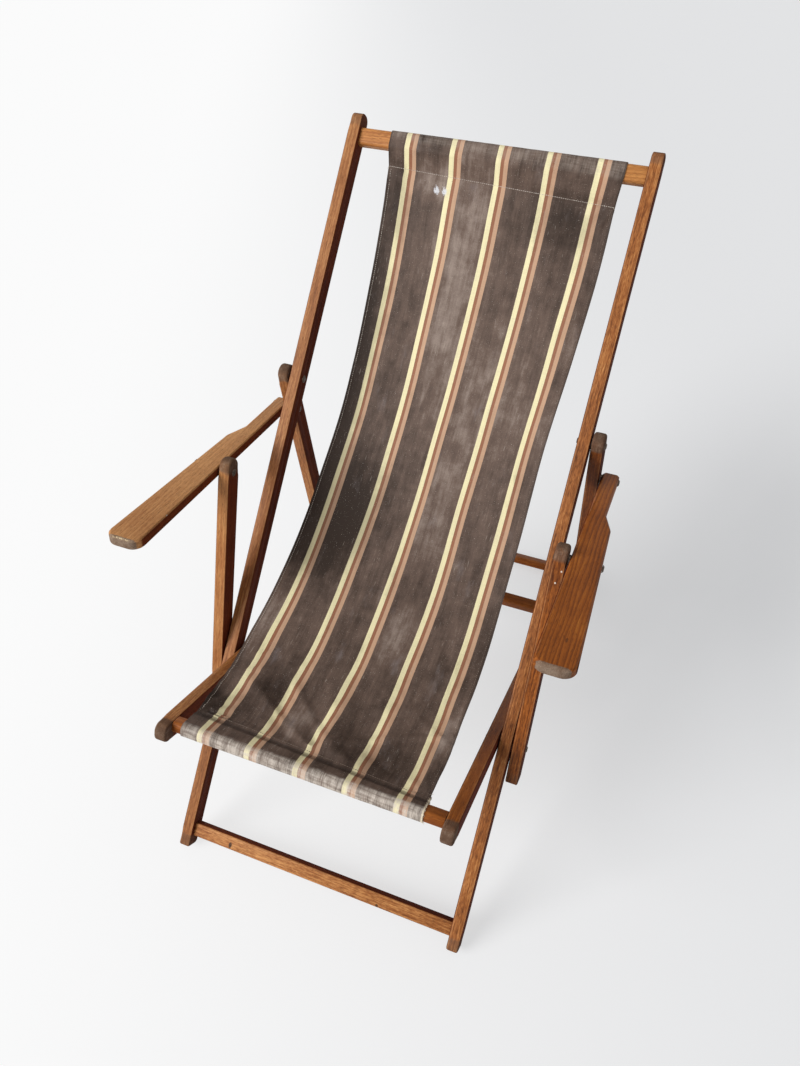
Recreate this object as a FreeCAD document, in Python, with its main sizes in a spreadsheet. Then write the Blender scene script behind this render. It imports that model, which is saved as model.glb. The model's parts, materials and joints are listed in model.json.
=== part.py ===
"""Folding deck chair with armrests and a striped canvas sling, as separate pieces.

The long back frame runs from the two front feet up to the head bar. The seat frame
crosses inside it and stands on the rear feet. The prop frame hangs outside the back
rails, and its bar rests in notches on the seat rails. Each armrest is pinned to a prop
leg at its rear end and to a post further forward. The seat rail, the back rail and the
post turn on one rivet at each side.

Lengths are in millimetres. X runs to the right of someone facing the chair, Y to the
rear and Z up. The origin lies on the floor under the middle of the chair.
"""
import FreeCAD, Part
import math
import os

import Sketcher

doc = FreeCAD.newDocument("DeckChair")
sheet = doc.addObject("Spreadsheet::Sheet", "Sizes")

SIZES = [
    # The sticks that all the frames are made of.
    ("frame_wide", "541", "outside width of the back frame"),
    ("rail_wide", "21", "width of every rail, leg and post"),
    ("rail_deep", "32", "depth of every rail, leg and post"),
    ("edge_ease", "1.2", "small bevel on the long edges"),
    ("end_round", "13", "rounding of a rail end"),
    ("dome_round", "15", "rounding of the domed leg and post tops"),
    ("seat_gap", "2", "gap between a seat rail and a back rail"),
    ("side_gap", "2", "gap between a back rail and a prop leg or post"),
    ("arm_gap", "3", "gap between a prop leg or post and an armrest"),
    # Where the frames stand at rest.
    ("back_angle", "49.1", "slope of the back frame"),
    ("seat_angle", "20.5", "slope of the seat frame"),
    ("prop_angle", "78.5", "slope of the prop frame"),
    ("foot_reach", "365", "seat pivot to the lower end of a back rail"),
    ("back_reach", "988", "seat pivot to the top of a back rail"),
    ("front_reach", "265", "seat pivot to the front end of a seat rail"),
    ("prop_up", "515.5", "seat pivot to prop pivot along the back rail"),
    ("prop_over", "22", "prop leg above its pivot"),
    ("prop_tail", "14", "prop leg below its bar"),
    ("foot_wear", "4", "corner worn off each foot where it meets the floor"),
    # The bars across the frames.
    ("bar_thick", "20", "narrow side of the head and front bars"),
    ("head_face", "30", "wide side of the head bar"),
    ("head_ease", "6", "rounding of the head bar"),
    ("head_inset", "38.6", "top of a back rail to the head bar"),
    ("front_face", "26", "wide side of the front bar"),
    ("front_ease", "8", "rounding of the front bar"),
    ("front_inset", "31", "front end of a seat rail to the front bar"),
    ("stretcher_face", "26", "wide side of the foot and rear stretchers"),
    ("stretcher_thick", "18", "narrow side of the foot and rear stretchers"),
    ("stretcher_ease", "4", "rounding of the stretchers"),
    ("foot_bar_inset", "33.5", "lower end of a back rail to the foot stretcher"),
    ("rear_bar_inset", "24", "rear end of a seat rail to the rear stretcher"),
    ("prop_bar_thick", "24", "side of the square prop bar"),
    ("prop_bar_round", "6", "rounding of the prop bar"),
    ("stub_round", "6", "rounding of the lower ends of the legs and posts"),
    ("tenon_wide", "18", "wide side of the tenon at the end of a bar"),
    ("tenon_thick", "9", "narrow side of a tenon"),
    ("tenon_long", "14", "length of a tenon"),
    ("tenon_slip", "0.1", "gap round a tenon in its mortise"),
    ("tenon_short", "0.5", "gap at the end of a tenon"),
    # The notches on the seat rails.
    ("notch_deep", "5", "depth of a notch"),
    ("notch_ramp", "6", "slope of a notch's rear side against the rail"),
    ("notch_pitch", "66", "distance from notch to notch"),
    ("rest_gap", "0.3", "gap between the prop bar and the notch it rests in"),
    # The armrests and their posts.
    ("arm_crank", "81.6", "prop pivot to the armrest's rear rivet"),
    ("post_length", "355", "seat pivot to the armrest's front rivet"),
    ("post_over", "24", "post above the armrest's front rivet"),
    ("post_tail", "68", "post below the seat pivot"),
    ("arm_thick", "18", "thickness of an armrest"),
    ("arm_front", "238", "armrest in front of its front rivet"),
    ("arm_back", "13", "armrest behind its rear rivet"),
    ("arm_wide", "60", "armrest width at the front end"),
    ("arm_waist", "43", "armrest width just in front of the step"),
    ("arm_narrow", "28", "armrest width behind the step"),
    ("step_front", "152", "rear rivet to the front of the step"),
    ("step_back", "112", "rear rivet to the back of the step"),
    ("arm_corner", "20", "rounding of the armrest's front corners"),
    ("arm_tail_round", "6", "rounding of the armrest's rear corners"),
    ("arm_soft", "3", "bevel of the armrest's top and bottom rims"),
    # The rivets and the washers that keep the layers apart.
    ("rivet_radius", "3", "radius of every rivet"),
    ("rivet_slip", "0.08", "gap round a rivet in its bore"),
    ("head_radius", "6.5", "radius of a rivet's domed ends"),
    ("head_high", "2.4", "height of a rivet's domed ends"),
    ("low_high", "1.4", "height of the rivet ends that pass the back rails as the chair folds"),
    ("washer_radius", "8.5", "radius of a washer"),
    ("seat_slip", "0.15", "gap at each face of a rivet's end or a washer"),
    # The canvas.
    ("canvas_thick", "1.6", "thickness of the canvas"),
    ("canvas_gap", "0.4", "gap between the canvas and the bar in its hem"),
    ("canvas_wide", "403", "width of the canvas at its hems"),
    ("canvas_waist", "6", "how far each edge is drawn in half way along"),
    ("canvas_skew_top", "10", "canvas middle to the right of the chair's at the top"),
    ("canvas_skew_front", "-6", "canvas middle to the right of the chair's in front"),
    ("canvas_slack", "471", "hang of the canvas, its curve's least radius"),
    ("canvas_past", "60", "how far the curve of the canvas edges runs past the bars"),
    ("top_hem_drop", "52", "head bar to the top hem's stitching"),
    ("top_hem_slope", "64", "slope of the canvas at the top hem"),
    ("front_hem_back", "29", "front bar to the front hem's stitching, to the rear"),
    ("front_hem_drop", "0.4", "front bar to the front hem's stitching, downward"),
]

WORKED_OUT = [
    ("half_deep", "=rail_deep / 2"),
    ("back_inner", "=frame_wide / 2 - rail_wide"),
    ("seat_outer", "=back_inner - seat_gap"),
    ("seat_inner", "=seat_outer - rail_wide"),
    ("leg_inner", "=frame_wide / 2 + side_gap"),
    ("leg_outer", "=leg_inner + rail_wide"),
    ("arm_inner", "=leg_outer + arm_gap"),
    ("rivet_bore", "=rivet_radius + rivet_slip"),
    ("mortise_wide", "=tenon_wide + 2 * tenon_slip"),
    ("mortise_thick", "=tenon_thick + 2 * tenon_slip"),
    ("mortise_deep", "=tenon_long + tenon_short"),
    # The seat pivot stands above the floor, and the rear feet follow from it.
    ("pivot_high", "=foot_reach * sin(back_angle) + half_deep * cos(back_angle) - foot_wear"),
    ("seat_reach", "=(pivot_high + foot_wear - half_deep * cos(seat_angle)) / sin(seat_angle)"),
    ("head_along", "=back_reach - head_inset"),
    ("foot_bar_along", "=foot_reach - foot_bar_inset"),
    ("front_along", "=front_reach - front_inset"),
    # The front bar lies flush with the tops of its rails.
    ("front_lift", "=half_deep - bar_thick / 2"),
    ("rear_bar_along", "=seat_reach - rear_bar_inset"),
    ("front_edge", "=foot_reach * cos(back_angle) + half_deep * sin(back_angle)"),
    ("rear_edge", "=seat_reach * cos(seat_angle) + half_deep * sin(seat_angle)"),
    ("pivot_y", "=(front_edge - rear_edge) / 2"),
    ("prop_y", "=pivot_y + prop_up * cos(back_angle)"),
    ("prop_z", "=pivot_high + prop_up * sin(back_angle)"),
    # The prop bar's lowest point lies just over the floor of its notch.
    ("fold_angle", "=back_angle + seat_angle"),
    ("lean_angle", "=prop_angle - seat_angle"),
    ("bar_core", "=prop_bar_thick / 2 - prop_bar_round"),
    ("bar_drop", "=bar_core * (sin(lean_angle) + cos(lean_angle)) + prop_bar_round"),
    ("bar_high", "=half_deep - notch_deep + bar_drop + rest_gap"),
    ("prop_reach", "=(prop_up * sin(fold_angle) - bar_high) / sin(lean_angle)"),
    ("notch_along", "=prop_up * cos(fold_angle) + prop_reach * cos(lean_angle)"),
    ("notch_front", "=bar_drop + 2 * rest_gap"),
    ("notch_run", "=notch_deep / tan(notch_ramp)"),
    # The armrest's two rivets, from lengths that let the arms fold flat.
    ("rear_pin_y", "=prop_y + arm_crank * cos(prop_angle)"),
    ("rear_pin_z", "=prop_z - arm_crank * sin(prop_angle)"),
    ("arm_length", "=prop_up + arm_crank - post_length"),
    ("span_y", "=rear_pin_y - pivot_y"),
    ("span_z", "=rear_pin_z - pivot_high"),
    ("span_long", "=sqrt(span_y * span_y + span_z * span_z)"),
    ("span_slope", "=atan2(span_z; span_y) / 1deg"),
    ("post_squares", "=post_length * post_length + span_long * span_long"),
    ("post_cosine", "=(post_squares - arm_length * arm_length) / (2 * post_length * span_long)"),
    ("post_angle", "=span_slope + acos(post_cosine) / 1deg"),
    ("front_pin_y", "=pivot_y + post_length * cos(post_angle)"),
    ("front_pin_z", "=pivot_high + post_length * sin(post_angle)"),
    ("arm_rise", "=atan2(front_pin_z - rear_pin_z; rear_pin_y - front_pin_y) / 1deg"),
    ("arm_taper", "=(arm_wide - arm_waist) / (arm_length + arm_front - step_front)"),
    ("arm_at_pin", "=arm_waist + arm_taper * (arm_length - step_front)"),
    # The bars that the canvas hangs from.
    ("head_y", "=pivot_y + head_along * cos(back_angle)"),
    ("head_z", "=pivot_high + head_along * sin(back_angle)"),
    ("front_y", "=pivot_y - front_along * cos(seat_angle) + front_lift * sin(seat_angle)"),
    ("front_z", "=pivot_high + front_along * sin(seat_angle) + front_lift * cos(seat_angle)"),
]


def fill_sheet():
    """Write every size into the sheet under its own name."""
    row = 0
    for name, text, note in SIZES:
        row += 1
        sheet.set(f"A{row}", note)
        sheet.set(f"B{row}", text)
        sheet.setAlias(f"B{row}", name)
    for name, text in WORKED_OUT:
        row += 1
        sheet.set(f"A{row}", name)
        sheet.set(f"B{row}", text)
        sheet.setAlias(f"B{row}", name)
    doc.recompute()


fill_sheet()


def value(name):
    """Give one size as a plain number."""
    return float(sheet.get(name))


def named(text):
    """Turn a formula of size names into one that other objects can use."""
    words = {name for name, *_ in SIZES} | {name for name, _ in WORKED_OUT}
    out = ""
    word = ""
    for letter in text + " ":
        if letter.isalnum() or letter == "_":
            word += letter
            continue
        out += "Sizes." + word if word in words else word
        out += letter
        word = ""
    return out.strip()


def put(thing, x="0", y="0", z="0", turn=None, forward=False):
    """Stand a piece at a point, turned about X; forward turns its far end down."""
    if turn:
        axis = FreeCAD.Vector(-1 if forward else 1, 0, 0)
        thing.Placement = FreeCAD.Placement(FreeCAD.Vector(), FreeCAD.Rotation(axis, 10))
        thing.setExpression("Placement.Rotation.Angle", named(turn))
    thing.setExpression("Placement.Base.x", named(x))
    thing.setExpression("Placement.Base.y", named(y))
    thing.setExpression("Placement.Base.z", named(z))


def plane(body, role):
    """Find one of a body's own origin planes."""
    for feature in body.Origin.OriginFeatures:
        if feature.Role == role:
            return feature
    raise ValueError(role)


def pin_point(sketch, geometry, end, across, up):
    """Hold one point of a sketch at two formulas."""
    for kind, formula in (("DistanceX", across), ("DistanceY", up)):
        index = sketch.addConstraint(Sketcher.Constraint(kind, -1, 1, geometry, end, 1.0))
        sketch.setExpression(f"Constraints[{index}]", named(formula))


def new_sketch(body, role, name):
    """Start a sketch on one of the body's origin planes."""
    sketch = body.newObject("Sketcher::SketchObject", name)
    sketch.AttachmentSupport = [(plane(body, role), "")]
    sketch.MapMode = "FlatFace"
    return sketch


def evaluate(formula):
    """Work out a formula of size names as a plain number."""
    return float(sheet.evalExpression(formula))


def add_outline(sketch, corners):
    """Draw a closed outline through corners that are given as pairs of formulas."""
    points = [FreeCAD.Vector(evaluate(a), evaluate(b), 0) for a, b in corners]
    first = sketch.GeometryCount
    count = len(points)
    for i in range(count):
        sketch.addGeometry(Part.LineSegment(points[i], points[(i + 1) % count]), False)
    for i in range(count):
        following = first + (i + 1) % count
        sketch.addConstraint(Sketcher.Constraint("Coincident", first + i, 2, following, 1))
    for i, (across, up) in enumerate(corners):
        pin_point(sketch, first + i, 1, across, up)


def box_corners(across, up, wide, thick):
    """Give the corners of an upright rectangle about a point, all given as formulas."""
    return [
        (f"{across} - {wide} / 2", f"{up} - {thick} / 2"),
        (f"{across} + {wide} / 2", f"{up} - {thick} / 2"),
        (f"{across} + {wide} / 2", f"{up} + {thick} / 2"),
        (f"{across} - {wide} / 2", f"{up} + {thick} / 2"),
    ]


def add_circle(sketch, across, up, radius):
    """Draw a circle at a point with a radius, all given as formulas."""
    middle = FreeCAD.Vector(evaluate(across), evaluate(up), 0)
    circle = Part.Circle(middle, FreeCAD.Vector(0, 0, 1), evaluate(radius))
    index = sketch.addGeometry(circle, False)
    pin_point(sketch, index, 3, across, up)
    size = sketch.addConstraint(Sketcher.Constraint("Radius", index, evaluate(radius)))
    sketch.setExpression(f"Constraints[{size}]", named(radius))


NEAR = 1e-4


def edges_at(shape, points, direction):
    """Name the straight edges that pass through given points in one direction."""
    names = []
    for number, edge in enumerate(shape.Edges, 1):
        if edge.Curve.TypeId != "Part::GeomLine":
            continue
        if abs(abs(edge.Curve.Direction.dot(direction)) - 1) > NEAR:
            continue
        for point in points:
            if edge.distToShape(Part.Vertex(point))[0] < NEAR:
                names.append(f"Edge{number}")
                break
    return names


def long_edges(shape, least):
    """Name the straight edges that are longer than a given length."""
    return [
        f"Edge{number}"
        for number, edge in enumerate(shape.Edges, 1)
        if edge.Curve.TypeId == "Part::GeomLine" and edge.Length > least
    ]


def cut_in(body, name, sketch, depth=None):
    """Cut a sketch's outline into a body toward +X, to a depth or right through."""
    before = body.Shape.Volume
    pocket = body.newObject("PartDesign::Pocket", name)
    pocket.Profile = sketch
    pocket.Reversed = True
    if depth:
        pocket.setExpression("Length", named(depth))
    else:
        pocket.Type = "ThroughAll"
    doc.recompute()
    if not body.Shape.Volume < before:
        raise RuntimeError(f"{name} cut nothing")


def board(
    name, corners, thick, rounds=(), holes=(), mortises=(), ease=None, role="YZ_Plane", centred=False
):
    """Make a flat piece: an outline with holes, padded, with rounded corners.

    rounds pairs the places of corners in the outline with the radius of their rounding.
    mortises are the points where a bar's tenon enters the piece's inner face.
    centred puts half the thickness on each side of the plane.
    """
    body = doc.addObject("PartDesign::Body", name)
    sketch = new_sketch(body, role, name + "_outline")
    add_outline(sketch, corners)
    for hole in holes:
        add_circle(sketch, *hole)
    pad = body.newObject("PartDesign::Pad", name + "_pad")
    pad.Profile = sketch
    pad.Midplane = centred
    pad.setExpression("Length", named(thick))
    doc.recompute()
    last = pad
    normal = sketch.Placement.Rotation.multVec(FreeCAD.Vector(0, 0, 1))
    for number, (places, radius) in enumerate(rounds):
        spots = []
        for place in places:
            across, up = corners[place]
            flat = FreeCAD.Vector(evaluate(across), evaluate(up), 0)
            spots.append(sketch.Placement.multVec(flat))
        rounding = body.newObject("PartDesign::Fillet", f"{name}_round{number}")
        rounding.Base = (last, edges_at(last.Shape, spots, normal))
        rounding.setExpression("Radius", named(radius))
        doc.recompute()
        last = rounding
    if ease:
        longest = max(edge.Length for edge in last.Shape.Edges)
        bevel = body.newObject("PartDesign::Chamfer", name + "_bevel")
        bevel.Base = (last, long_edges(last.Shape, longest / 2))
        bevel.setExpression("Size", named(ease))
        doc.recompute()
        last = bevel
    body.Tip = last
    for number, (across, up) in enumerate(mortises):
        sketch = new_sketch(body, role, f"{name}_mortise{number}_outline")
        add_outline(sketch, box_corners(across, up, "mortise_wide", "mortise_thick"))
        cut_in(body, f"{name}_mortise{number}", sketch, "mortise_deep")
    return body


def cross_bar(name, face, thick, ease, inner):
    """Make a bar with a tenon at each end, lying along X about the origin.

    The wide face runs along Y, and inner is the half width between the rails.
    """
    body = doc.addObject("PartDesign::Body", name)
    sketch = new_sketch(body, "YZ_Plane", name + "_section")
    corners = box_corners("0", "0", face, thick)
    add_outline(sketch, corners)
    pad = body.newObject("PartDesign::Pad", name + "_pad")
    pad.Profile = sketch
    pad.Midplane = True
    pad.setExpression("Length", named(f"2 * {inner}"))
    doc.recompute()
    spots = [FreeCAD.Vector(0, evaluate(a), evaluate(b)) for a, b in corners]
    rounding = body.newObject("PartDesign::Fillet", name + "_round")
    rounding.Base = (pad, edges_at(pad.Shape, spots, FreeCAD.Vector(1, 0, 0)))
    rounding.setExpression("Radius", named(ease))
    doc.recompute()
    tenon_sketch = new_sketch(body, "YZ_Plane", name + "_tenon_section")
    add_outline(tenon_sketch, box_corners("0", "0", "tenon_wide", "tenon_thick"))
    tenons = body.newObject("PartDesign::Pad", name + "_tenons")
    tenons.Profile = tenon_sketch
    tenons.Midplane = True
    tenons.setExpression("Length", named(f"2 * ({inner} + tenon_long)"))
    doc.recompute()
    body.Tip = tenons
    return body


def turned(name, outline):
    """Make a round piece by turning an outline of (along X, radius) about X."""
    body = doc.addObject("PartDesign::Body", name)
    sketch = new_sketch(body, "XY_Plane", name + "_outline")
    add_outline(sketch, outline)
    spin = body.newObject("PartDesign::Revolution", name + "_turn")
    spin.Profile = sketch
    spin.ReferenceAxis = (sketch, ["H_Axis"])
    spin.Angle = 360
    doc.recompute()
    body.Tip = spin
    return body


def domed_end(at, way, high="head_high"):
    """Give the outline of a rivet's domed end at a face; way is "-" to the left or "+"."""
    return [
        (f"{at} {way} seat_slip", "rivet_radius"),
        (f"{at} {way} seat_slip", "head_radius"),
        (f"{at} {way} (seat_slip + {high})", "head_radius * 0.6"),
        (f"{at} {way} (seat_slip + {high})", "0"),
    ]


def rivet(name, grip, inner_high="head_high"):
    """Make a rivet along X through pieces that reach from 0 to grip, domed at both ends."""
    return turned(name, domed_end("0", "-", inner_high)[::-1] + domed_end(grip, "+"))


def washer(name, gap):
    """Make a washer for the gap between two pieces, from 0 to gap."""
    inside = f"{gap} - seat_slip"
    outline = [
        ("seat_slip", "rivet_bore"),
        (inside, "rivet_bore"),
        (inside, "washer_radius"),
        ("seat_slip", "washer_radius"),
    ]
    return turned(name, outline)


def mirrored(body, name):
    """Make the same piece for the other side of the chair."""
    twin = doc.addObject("Part::Mirroring", name)
    twin.Source = body
    twin.Normal = FreeCAD.Vector(1, 0, 0)
    return twin


nodes = {}


def pair(body, stem):
    """Keep a right piece and its left twin as two nodes."""
    nodes[stem + "_right"] = body
    nodes[stem + "_left"] = mirrored(body, stem + "_left")


def group(name, *bodies):
    """Keep alike pieces on both sides of the chair as one node of separate solids."""
    every = []
    for number, body in enumerate(bodies):
        every += [body, mirrored(body, f"{name}_twin{number}")]
    bundle = doc.addObject("Part::Compound", name)
    bundle.Links = every
    nodes[name] = bundle


# Back frame: its rails stand on the floor in front and carry the head bar.
back_cut = "(foot_reach * sin(back_angle) - pivot_high) / cos(back_angle)"
back_flat = "-(pivot_high - half_deep * cos(back_angle)) / sin(back_angle)"
back_rail = board(
    "back_rail_right",
    [
        ("-foot_reach", back_cut),
        (back_flat, "-half_deep"),
        ("back_reach", "-half_deep"),
        ("back_reach", "half_deep"),
        ("-foot_reach", "half_deep"),
    ],
    "rail_wide",
    rounds=[((2, 3), "end_round"), ((4,), "foot_wear")],
    holes=[
        ("0", "0", "rivet_bore"),
        ("prop_up", "0", "rivet_bore"),
    ],
    mortises=[("head_along", "0"), ("-foot_bar_along", "0")],
    ease="edge_ease",
)
put(back_rail, "back_inner", "pivot_y", "pivot_high", "back_angle")
pair(back_rail, "back_rail")

head_bar = cross_bar("head_bar", "head_face", "bar_thick", "head_ease", "back_inner")
put(head_bar, y="head_y", z="head_z", turn="back_angle")
nodes["head_bar"] = head_bar

foot_stretcher = cross_bar(
    "foot_stretcher",
    "stretcher_face",
    "stretcher_thick",
    "stretcher_ease",
    "back_inner",
)
put(
    foot_stretcher,
    y="pivot_y - foot_bar_along * cos(back_angle)",
    z="pivot_high - foot_bar_along * sin(back_angle)",
    turn="back_angle",
)
nodes["foot_stretcher"] = foot_stretcher

# Seat frame: the notches on top of its rails hold the prop bar at four slopes.
NOTCH_STEPS = (-1, 0, 1, 2)
seat_cut = "(seat_reach * sin(seat_angle) - pivot_high) / cos(seat_angle)"
seat_flat = "(pivot_high - half_deep * cos(seat_angle)) / sin(seat_angle)"
notched_top = []
for step in NOTCH_STEPS:
    at = f"notch_along + ({step}) * notch_pitch"
    notched_top += [
        (f"{at} - notch_front", "half_deep"),
        (f"{at} - notch_front", "half_deep - notch_deep"),
        (at, "half_deep - notch_deep"),
        (f"{at} + notch_run", "half_deep"),
    ]
seat_corners = [
    ("-front_reach", "-half_deep"),
    ("-front_reach", "half_deep"),
    *notched_top,
    ("seat_reach", "half_deep"),
    ("seat_reach", seat_cut),
    (seat_flat, "-half_deep"),
]
seat_rail = board(
    "seat_rail_right",
    seat_corners,
    "rail_wide",
    rounds=[((0, 1), "end_round")],
    holes=[
        ("0", "0", "rivet_bore"),
    ],
    mortises=[("-front_along", "front_lift"), ("rear_bar_along", "0")],
    ease="edge_ease",
)
put(seat_rail, "seat_inner", "pivot_y", "pivot_high", "seat_angle", forward=True)
pair(seat_rail, "seat_rail")

front_bar = cross_bar("front_bar", "front_face", "bar_thick", "front_ease", "seat_inner")
put(front_bar, y="front_y", z="front_z", turn="seat_angle", forward=True)
nodes["front_bar"] = front_bar

rear_stretcher = cross_bar(
    "rear_stretcher",
    "stretcher_face",
    "stretcher_thick",
    "stretcher_ease",
    "seat_inner",
)
put(
    rear_stretcher,
    y="pivot_y + rear_bar_along * cos(seat_angle)",
    z="pivot_high - rear_bar_along * sin(seat_angle)",
    turn="seat_angle",
    forward=True,
)
nodes["rear_stretcher"] = rear_stretcher

# Prop frame: its legs hang from the back rails and its bar rests on the seat rails.
prop_leg = board(
    "prop_leg_right",
    [
        ("-prop_over", "-half_deep"),
        ("prop_reach + prop_tail", "-half_deep"),
        ("prop_reach + prop_tail", "half_deep"),
        ("-prop_over", "half_deep"),
    ],
    "rail_wide",
    rounds=[((0, 3), "dome_round"), ((1, 2), "stub_round")],
    holes=[
        ("0", "0", "rivet_bore"),
        ("arm_crank", "0", "rivet_bore"),
    ],
    mortises=[("prop_reach", "0")],
    ease="edge_ease",
)
put(prop_leg, "leg_inner", "prop_y", "prop_z", "prop_angle", forward=True)
pair(prop_leg, "prop_leg")

prop_bar = cross_bar(
    "prop_bar",
    "prop_bar_thick",
    "prop_bar_thick",
    "prop_bar_round",
    "leg_inner",
)
put(
    prop_bar,
    y="prop_y + prop_reach * cos(prop_angle)",
    z="prop_z - prop_reach * sin(prop_angle)",
    turn="prop_angle",
    forward=True,
)
nodes["prop_bar"] = prop_bar

# Arm posts: outside the back rails, from below the seat pivot to above the armrest.
arm_post = board(
    "arm_post_right",
    [
        ("-post_tail", "-half_deep"),
        ("post_length + post_over", "-half_deep"),
        ("post_length + post_over", "half_deep"),
        ("-post_tail", "half_deep"),
    ],
    "rail_wide",
    rounds=[((1, 2), "dome_round"), ((0, 3), "stub_round")],
    holes=[("0", "0", "rivet_bore"), ("post_length", "0", "rivet_bore")],
    ease="edge_ease",
)
put(arm_post, "leg_inner", "pivot_y", "pivot_high", "post_angle")
pair(arm_post, "arm_post")

# Armrests: straight inside, wide in front, stepped in to a narrow tail.
armrest = board(
    "armrest_right",
    [
        ("0", "arm_back"),
        ("0", "-arm_length - arm_front"),
        ("arm_wide", "-arm_length - arm_front"),
        ("arm_waist", "-step_front"),
        ("arm_narrow", "-step_back"),
        ("arm_narrow", "arm_back"),
    ],
    "arm_thick",
    rounds=[((1, 2), "arm_corner"), ((0, 5), "arm_tail_round"), ((3, 4), "arm_corner")],
    role="XY_Plane",
    centred=True,
)
for where, along in (("rear", "0"), ("front", "-arm_length")):
    sketch = new_sketch(armrest, "YZ_Plane", f"armrest_{where}_bore_outline")
    add_circle(sketch, along, "0", "rivet_bore")
    cut_in(armrest, f"armrest_{where}_bore", sketch)
bored = armrest.Tip
rim_level = value("arm_thick") / 2 - NEAR
rims = []
for number, edge in enumerate(bored.Shape.Edges, 1):
    box = edge.BoundBox
    if box.ZLength < NEAR and abs(box.ZMax) > rim_level:
        rims.append(f"Edge{number}")
softened = armrest.newObject("PartDesign::Chamfer", "armrest_rims")
softened.Base = (bored, rims)
softened.setExpression("Size", named("arm_soft"))
doc.recompute()
put(armrest, "arm_inner", "rear_pin_y", "rear_pin_z", "arm_rise", forward=True)
pair(armrest, "armrest")

# Rivets and washers at the seat pivots and the prop pivots.
seat_rivet = rivet("seat_pivot_rivet", "leg_outer - seat_inner")
put(seat_rivet, "seat_inner", "pivot_y", "pivot_high")
group("seat_pivot_rivets", seat_rivet)
prop_rivet = rivet("prop_pivot_rivet", "leg_outer - back_inner")
put(prop_rivet, "back_inner", "prop_y", "prop_z")
group("prop_pivot_rivets", prop_rivet)
beside = washer("post_washer", "side_gap")
put(beside, "frame_wide / 2", "pivot_y", "pivot_high")
above = washer("prop_leg_washer", "side_gap")
put(above, "frame_wide / 2", "prop_y", "prop_z")
group("pivot_washers", beside, above)

# Rivets and washers at the armrests' rear ends.
rear_rivet = rivet("arm_rear_rivet", "rail_wide + arm_gap + arm_narrow", "low_high")
put(rear_rivet, "leg_inner", "rear_pin_y", "rear_pin_z")
group("arm_rear_rivets", rear_rivet)
rear_washer = washer("arm_rear_washer", "arm_gap")
put(rear_washer, "leg_outer", "rear_pin_y", "rear_pin_z")
group("arm_rear_washers", rear_washer)

# The front rivet is drawn in two halves, so that post and armrest can part as they fold.
post_outline = domed_end("0", "-", "low_high")[::-1] + [
    ("rail_wide + arm_gap - seat_slip", "rivet_radius"),
    ("rail_wide + arm_gap - seat_slip", "0"),
]
post_rivet = turned("post_rivet_right", post_outline)
put(post_rivet, "leg_inner", "front_pin_y", "front_pin_z")
pair(post_rivet, "post_rivet")
post_washer = washer("arm_post_washer_right", "arm_gap")
put(post_washer, "leg_outer", "front_pin_y", "front_pin_z")
pair(post_washer, "arm_post_washer")
# The domed end stands off by what the armrest's slanting edge rises across it.
arm_outline = [("seat_slip", "0"), ("seat_slip", "rivet_radius")] + domed_end(
    "arm_at_pin + arm_taper * head_radius", "+"
)
arm_rivet = turned("arm_rivet_end_right", arm_outline)
put(arm_rivet, "arm_inner", "front_pin_y", "front_pin_z")
pair(arm_rivet, "arm_rivet_end")


def hang(start, finish, slack, count):
    """Give points of a hanging curve from start to finish, and the slope at each."""
    run = finish[0] - start[0]
    rise = finish[1] - start[1]
    middle = (start[0] + finish[0]) / 2
    low_y = middle - slack * math.asinh(rise / (2 * slack * math.sinh(run / (2 * slack))))
    low_z = start[1] - slack * (math.cosh((start[0] - low_y) / slack) - 1)
    curve = []
    for step in range(count + 1):
        y = start[0] + run * step / count
        turn = (y - low_y) / slack
        z = low_z + slack * (math.cosh(turn) - 1)
        curve.append((y, z, math.atan(math.sinh(turn))))
    return curve


def spot(y, z):
    """Give a point of the YZ plane."""
    return FreeCAD.Vector(0, y, z)


def rim_point(circle, heading):
    """Give the point of a circle that lies to the right of someone walking round it."""
    y, z, radius = circle
    return spot(y + radius * math.sin(heading), z - radius * math.cos(heading))


def band_face(circles):
    """Make the face inside a band drawn tight round circles, given as (y, z, radius)."""
    start = min(circles, key=lambda c: c[1] - c[2])
    here, heading = start, 0.0
    legs = []
    while not legs or here is not start:
        turns = []
        for other in circles:
            if other is here:
                continue
            run_y, run_z = other[0] - here[0], other[1] - here[1]
            lean = math.asin((here[2] - other[2]) / math.hypot(run_y, run_z))
            turn = (math.atan2(run_z, run_y) + lean - heading) % (2 * math.pi)
            turns.append((turn, other))
        turn, there = min(turns, key=lambda t: t[0])
        heading += turn
        legs.append((here, heading, there))
        here = there
    edges = []
    for i, (here, heading, there) in enumerate(legs):
        before = legs[i - 1][1] - (2 * math.pi if i == 0 else 0)
        middle = (before + heading) / 2
        first, last = rim_point(here, before), rim_point(here, heading)
        edges.append(Part.Arc(first, rim_point(here, middle), last).toShape())
        edges.append(Part.makeLine(last, rim_point(there, heading)))
    return Part.Face(Part.Wire(edges))


def hem_face(bar, away, tip_radius):
    """Make the face of a hem: round a bar at a distance, then drawn in to its tip."""
    centre, angle, face, ease, tip = bar
    half_y = value(face) / 2 - value(ease)
    half_z = value("bar_thick") / 2 - value(ease)
    circles = [(*tip, tip_radius)]
    for y, z in ((half_y, half_z), (-half_y, half_z), (-half_y, -half_z), (half_y, -half_z)):
        across = centre[0] + y * math.cos(angle) - z * math.sin(angle)
        up = centre[1] + y * math.sin(angle) + z * math.cos(angle)
        circles.append((across, up, value(ease) + away))
    return band_face(circles)


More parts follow.
